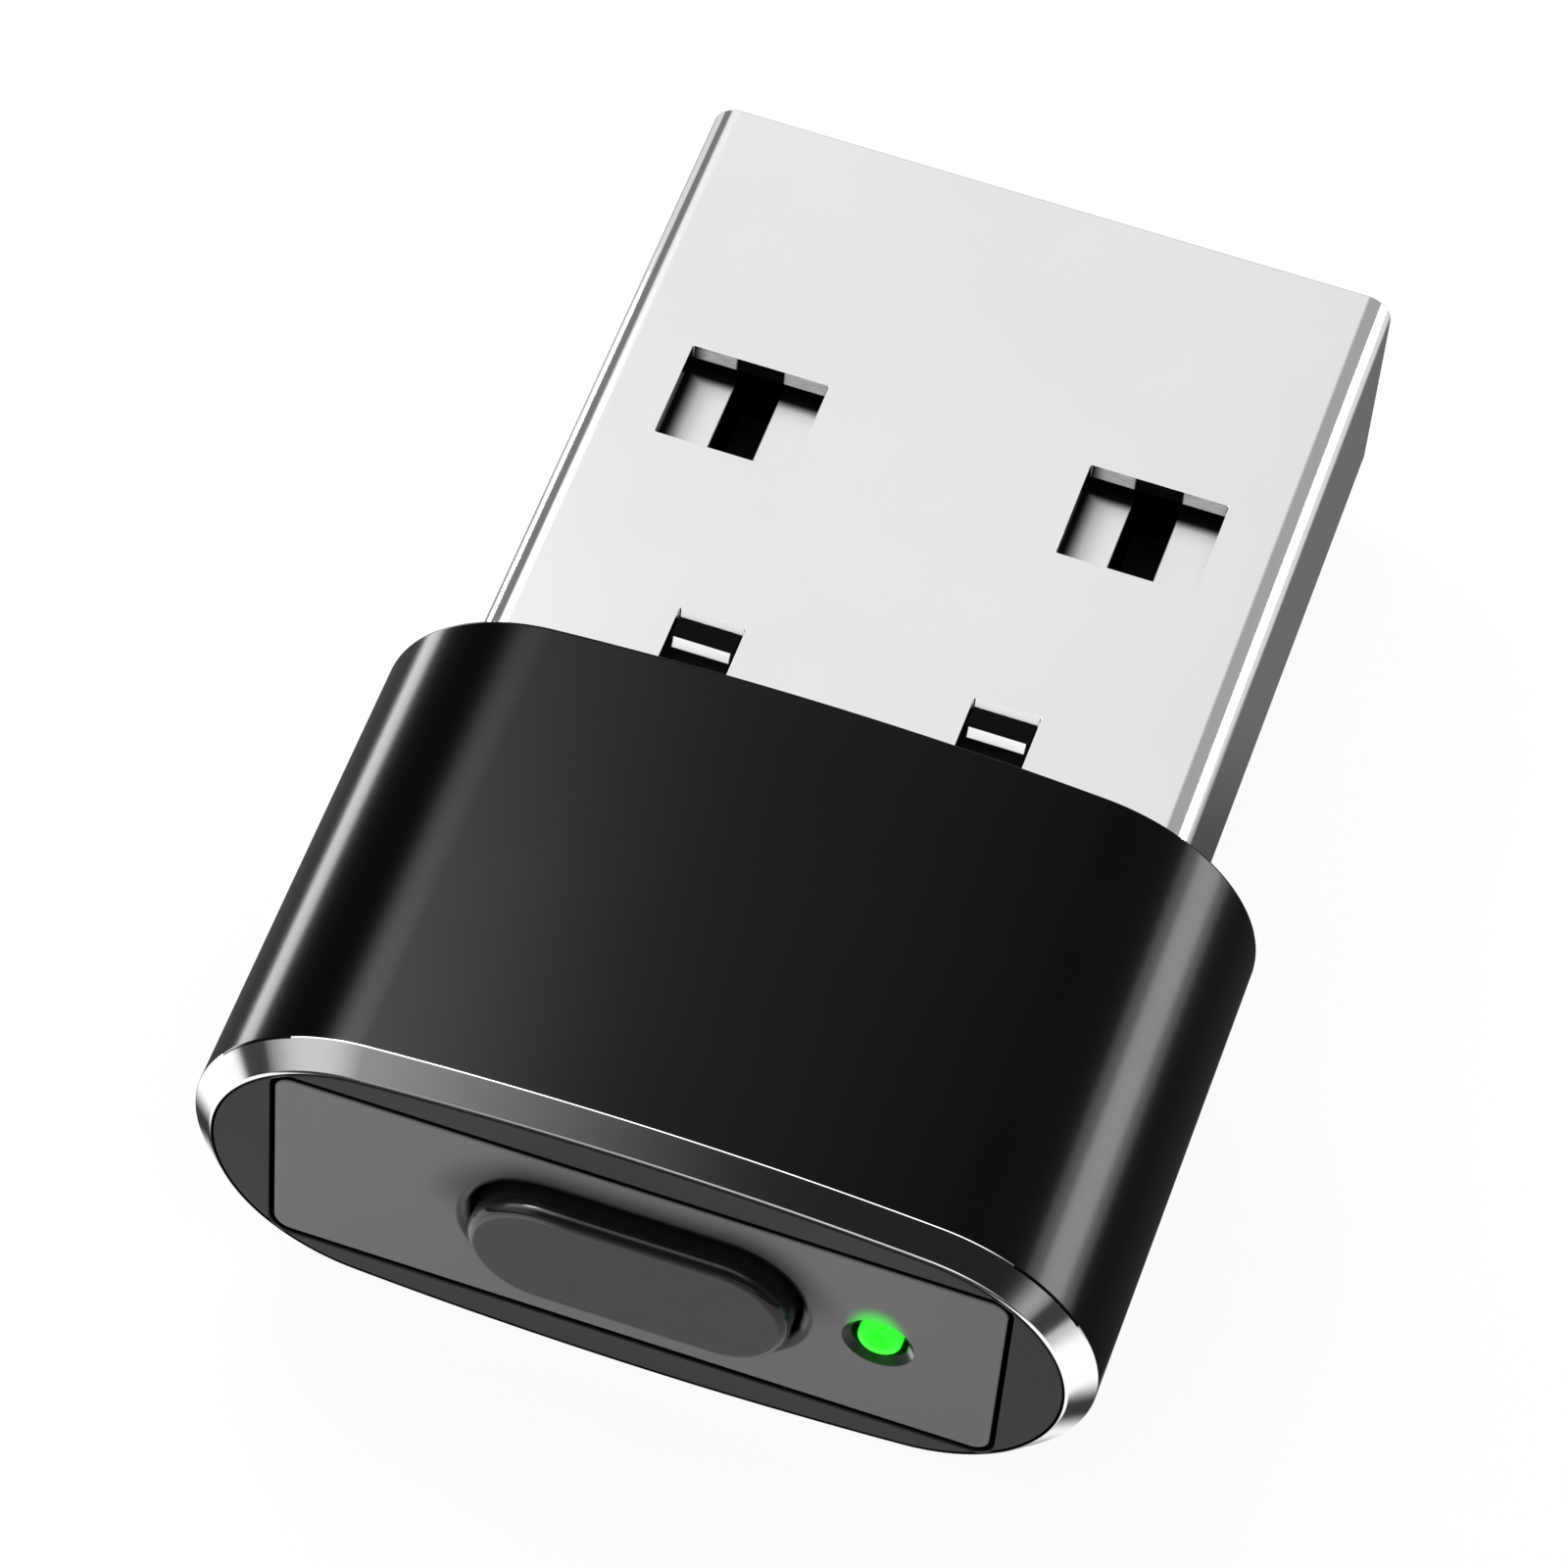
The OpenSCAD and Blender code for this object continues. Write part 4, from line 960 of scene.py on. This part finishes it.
def makeFloor():
    bm = bmesh.new()
    bmesh.ops.create_grid(bm, x_segments=2, y_segments=2, size=studio["floorSize"])
    data = bpy.data.meshes.new("floor")
    bm.to_mesh(data)
    bm.free()
    floor = bpy.data.objects.new("floor", data)
    floor.location.z = studio["floorZ"] / 1000
    bpy.context.scene.collection.objects.link(floor)
    material = bpy.data.materials.new("floor_white")
    material.use_nodes = True
    sheet = Sheet(material.node_tree)
    dull = sheet.add("ShaderNodeBsdfDiffuse", None, {"Color": gray(studio["floorTone"])})
    seen, mirrored = sheet.rays()
    # for rays from a mirror the floor shows painted light: a pool of light in front, and painted shade beside
    # and under the casing's front
    x, y, z = sheet.axes(sheet.millimetres())
    cx, cy = studio["poolCentre"]
    away = ((x - cx) ** 2 + (y - cy) ** 2) ** 0.5
    away = away * (1 - studio["poolStretch"] * sheet.ease(x, *studio["poolStretchFrom"]))
    near, far = studio["poolRadius"]
    front, behind = studio["poolBack"]
    aside = sheet.absolute(x)
    shifted = sheet.absolute(x + studio["poolShift"])
    dip = sheet.slab(shifted, *studio["poolDip"]) * sheet.ease(y, *studio["poolDipFrom"])
    foot = sheet.ease(shifted, *studio["poolFoot"]) * sheet.ease(y, *studio["poolFootFrom"])
    pool = sheet.ease(away, far, near) * sheet.ease(y, behind, front) * (1 - dip) * (1 - foot)
    sides = studio["floorNear"] * sheet.ease(y, *studio["casingShade"])
    sides = sides + (studio["floorFar"] - studio["floorNear"]) * sheet.ease(aside, *studio["floorFade"])
    rear = studio["backTone"] * sheet.ease(aside, *studio["backSide"]) * sheet.ease(y, *studio["backFrom"])
    sides = sides + rear
    tone = studio["floorDim"] + sides * sheet.ease(y, *studio["floorBehind"]) + studio["poolTone"] * pool
    tone = seen + (1 - seen) * tone
    plain = toned(sheet, "ShaderNodeEmission", tone, studio["floorTop"])
    share = seen * studio["floorShare"] + mirrored
    both = sheet.add("ShaderNodeMixShader", None, {0: share, 1: dull, 2: plain})
    sheet.add("ShaderNodeOutputMaterial", None, {"Surface": both})
    data.materials.append(material)


def makeWorld():
    world = bpy.data.worlds.new("studio")
    bpy.context.scene.world = world
    world.use_nodes = True
    sheet = Sheet(world.node_tree)
    way = sheet.add("ShaderNodeTexCoord", out="Generated")
    x, y, z = sheet.axes(way)

    spot = studio["frontRight"]
    aim = Vector(spot["aim"]).normalized()
    toward = x * aim.x + y * aim.y + z * aim.z
    back = sheet.ease(y, *studio["behindY"])
    plateau = sheet.slab(x, studio["plateauFrom"], studio["plateauTo"])
    dip = studio["skyDip"] * sheet.slab(x, *studio["skyDipX"])
    sky = studio["sky"] * (1 - dip) + studio["plateau"] * plateau
    tone = studio["frontDark"] + sky * back
    for part in ("hot", "zenith"):
        tone = tone + studio[part] * sheet.slab(x, *studio[part + "X"]) * sheet.slab(y, *studio[part + "Y"])
    left = sheet.ease(x, *studio["leftX"]) * sheet.ease(y, *studio["leftY"]) * sheet.ease(z, *studio["leftZ"])
    horizon = sheet.slab(x, *studio["horizonX"]) * sheet.ease(y, *studio["horizonY"])
    horizon = horizon * sheet.slab(z, *studio["horizonZ"])
    tone = tone + studio["left"] * left + studio["horizon"] * horizon
    tone = tone + spot["level"] * (spot["base"] ** ((toward - 1) * spot["width"]))
    seen, mirrored = sheet.rays()
    tone = seen + (1 - seen) * tone
    plain = toned(sheet, "ShaderNodeBackground", tone, studio["worldTop"])
    fill = sheet.add("ShaderNodeBackground", None, {"Color": (1, 1, 1), "Strength": studio["fill"]})
    both = sheet.add("ShaderNodeMixShader", None, {0: seen + mirrored, 1: fill, 2: plain})
    sheet.add("ShaderNodeOutputWorld", None, {"Surface": both})


lamps = {
    # soft key from behind on the left and a soft fill from the front, for the dull surfaces only
    "key": {"place": (-75, 60, 110), "aim": (0, 0, 0), "size": (70, 70), "tone": 10.0},
    "fill": {"place": (-38, -62, 22), "aim": (0, -9, 0), "size": (36, 36), "tone": 1.2},
    # picks out the cut edges of the plug's openings
    "edges": {"place": (14, -62, 82), "aim": (0, 2, 2), "size": (40, 40), "tone": 24.0,
              "on": ("plug_shell_sheet", "chassis")},
    # strips that show only as lines in the casing and the plug
    "leftStrip": {"place": (-16.0, 3.0, -0.92), "aim": (-6.6, 3.0, 2.2), "size": (26, 2.65), "tone": 34.0,
                  "shiny": True},
    "rightStrip": {"place": (39.0, 25.0, 7.7), "aim": (6.5, 25.0, 2.2), "size": (34, 12.0), "tone": 14.4,
                   "shiny": True},
    "rightSoft": {"place": (38.0, 25.0, 7.6), "aim": (6.5, 25.0, 2.2), "size": (34, 23.5), "tone": 6.0,
                  "shiny": True},
}
for part in lamps.values():
    part.setdefault("shiny", False)
    part.setdefault("on", ("casing_shell", "plug_shell_sheet") if part["shiny"] else ())


def makeLamp(name, part):
    data = bpy.data.lights.new(name, "AREA")
    data.shape = "RECTANGLE"
    data.size, data.size_y = (s / 1000 for s in part["size"])
    data.energy = part["tone"] * pi * data.size * data.size_y
    lamp = bpy.data.objects.new(name, data)
    bpy.context.scene.collection.objects.link(lamp)
    place, aim = Vector(part["place"]), Vector(part["aim"])
    ahead = (aim - place).normalized()
    if part["shiny"]:
        # the long side lies along the plug
        across = Vector((0, 1, 0)) - ahead * ahead.y
        across.normalize()
    else:
        across = ahead.cross(Vector((0, 0, 1))).normalized()
    upward = across.cross(ahead)
    turned = Matrix((across, -upward, -ahead)).transposed()
    if turned.determinant() < 0:
        turned = Matrix((across, upward, -ahead)).transposed()
    lamp.matrix_world = Matrix.Translation(place / 1000) @ turned.to_4x4()
    if part["on"]:
        receivers = bpy.data.collections.new(name + "_receivers")
        for piece in part["on"]:
            receivers.objects.link(nodes[piece] if piece in nodes else bpy.data.objects[piece])
        lamp.light_linking.receiver_collection = receivers
    lamp.visible_camera = False
    lamp.visible_diffuse = not part["shiny"]
    lamp.visible_glossy = part["shiny"]


makeFloor()
makeWorld()
for name, part in lamps.items():
    makeLamp(name, part)
bpy.context.scene.view_settings.view_transform = "Standard"
print("studio lit")
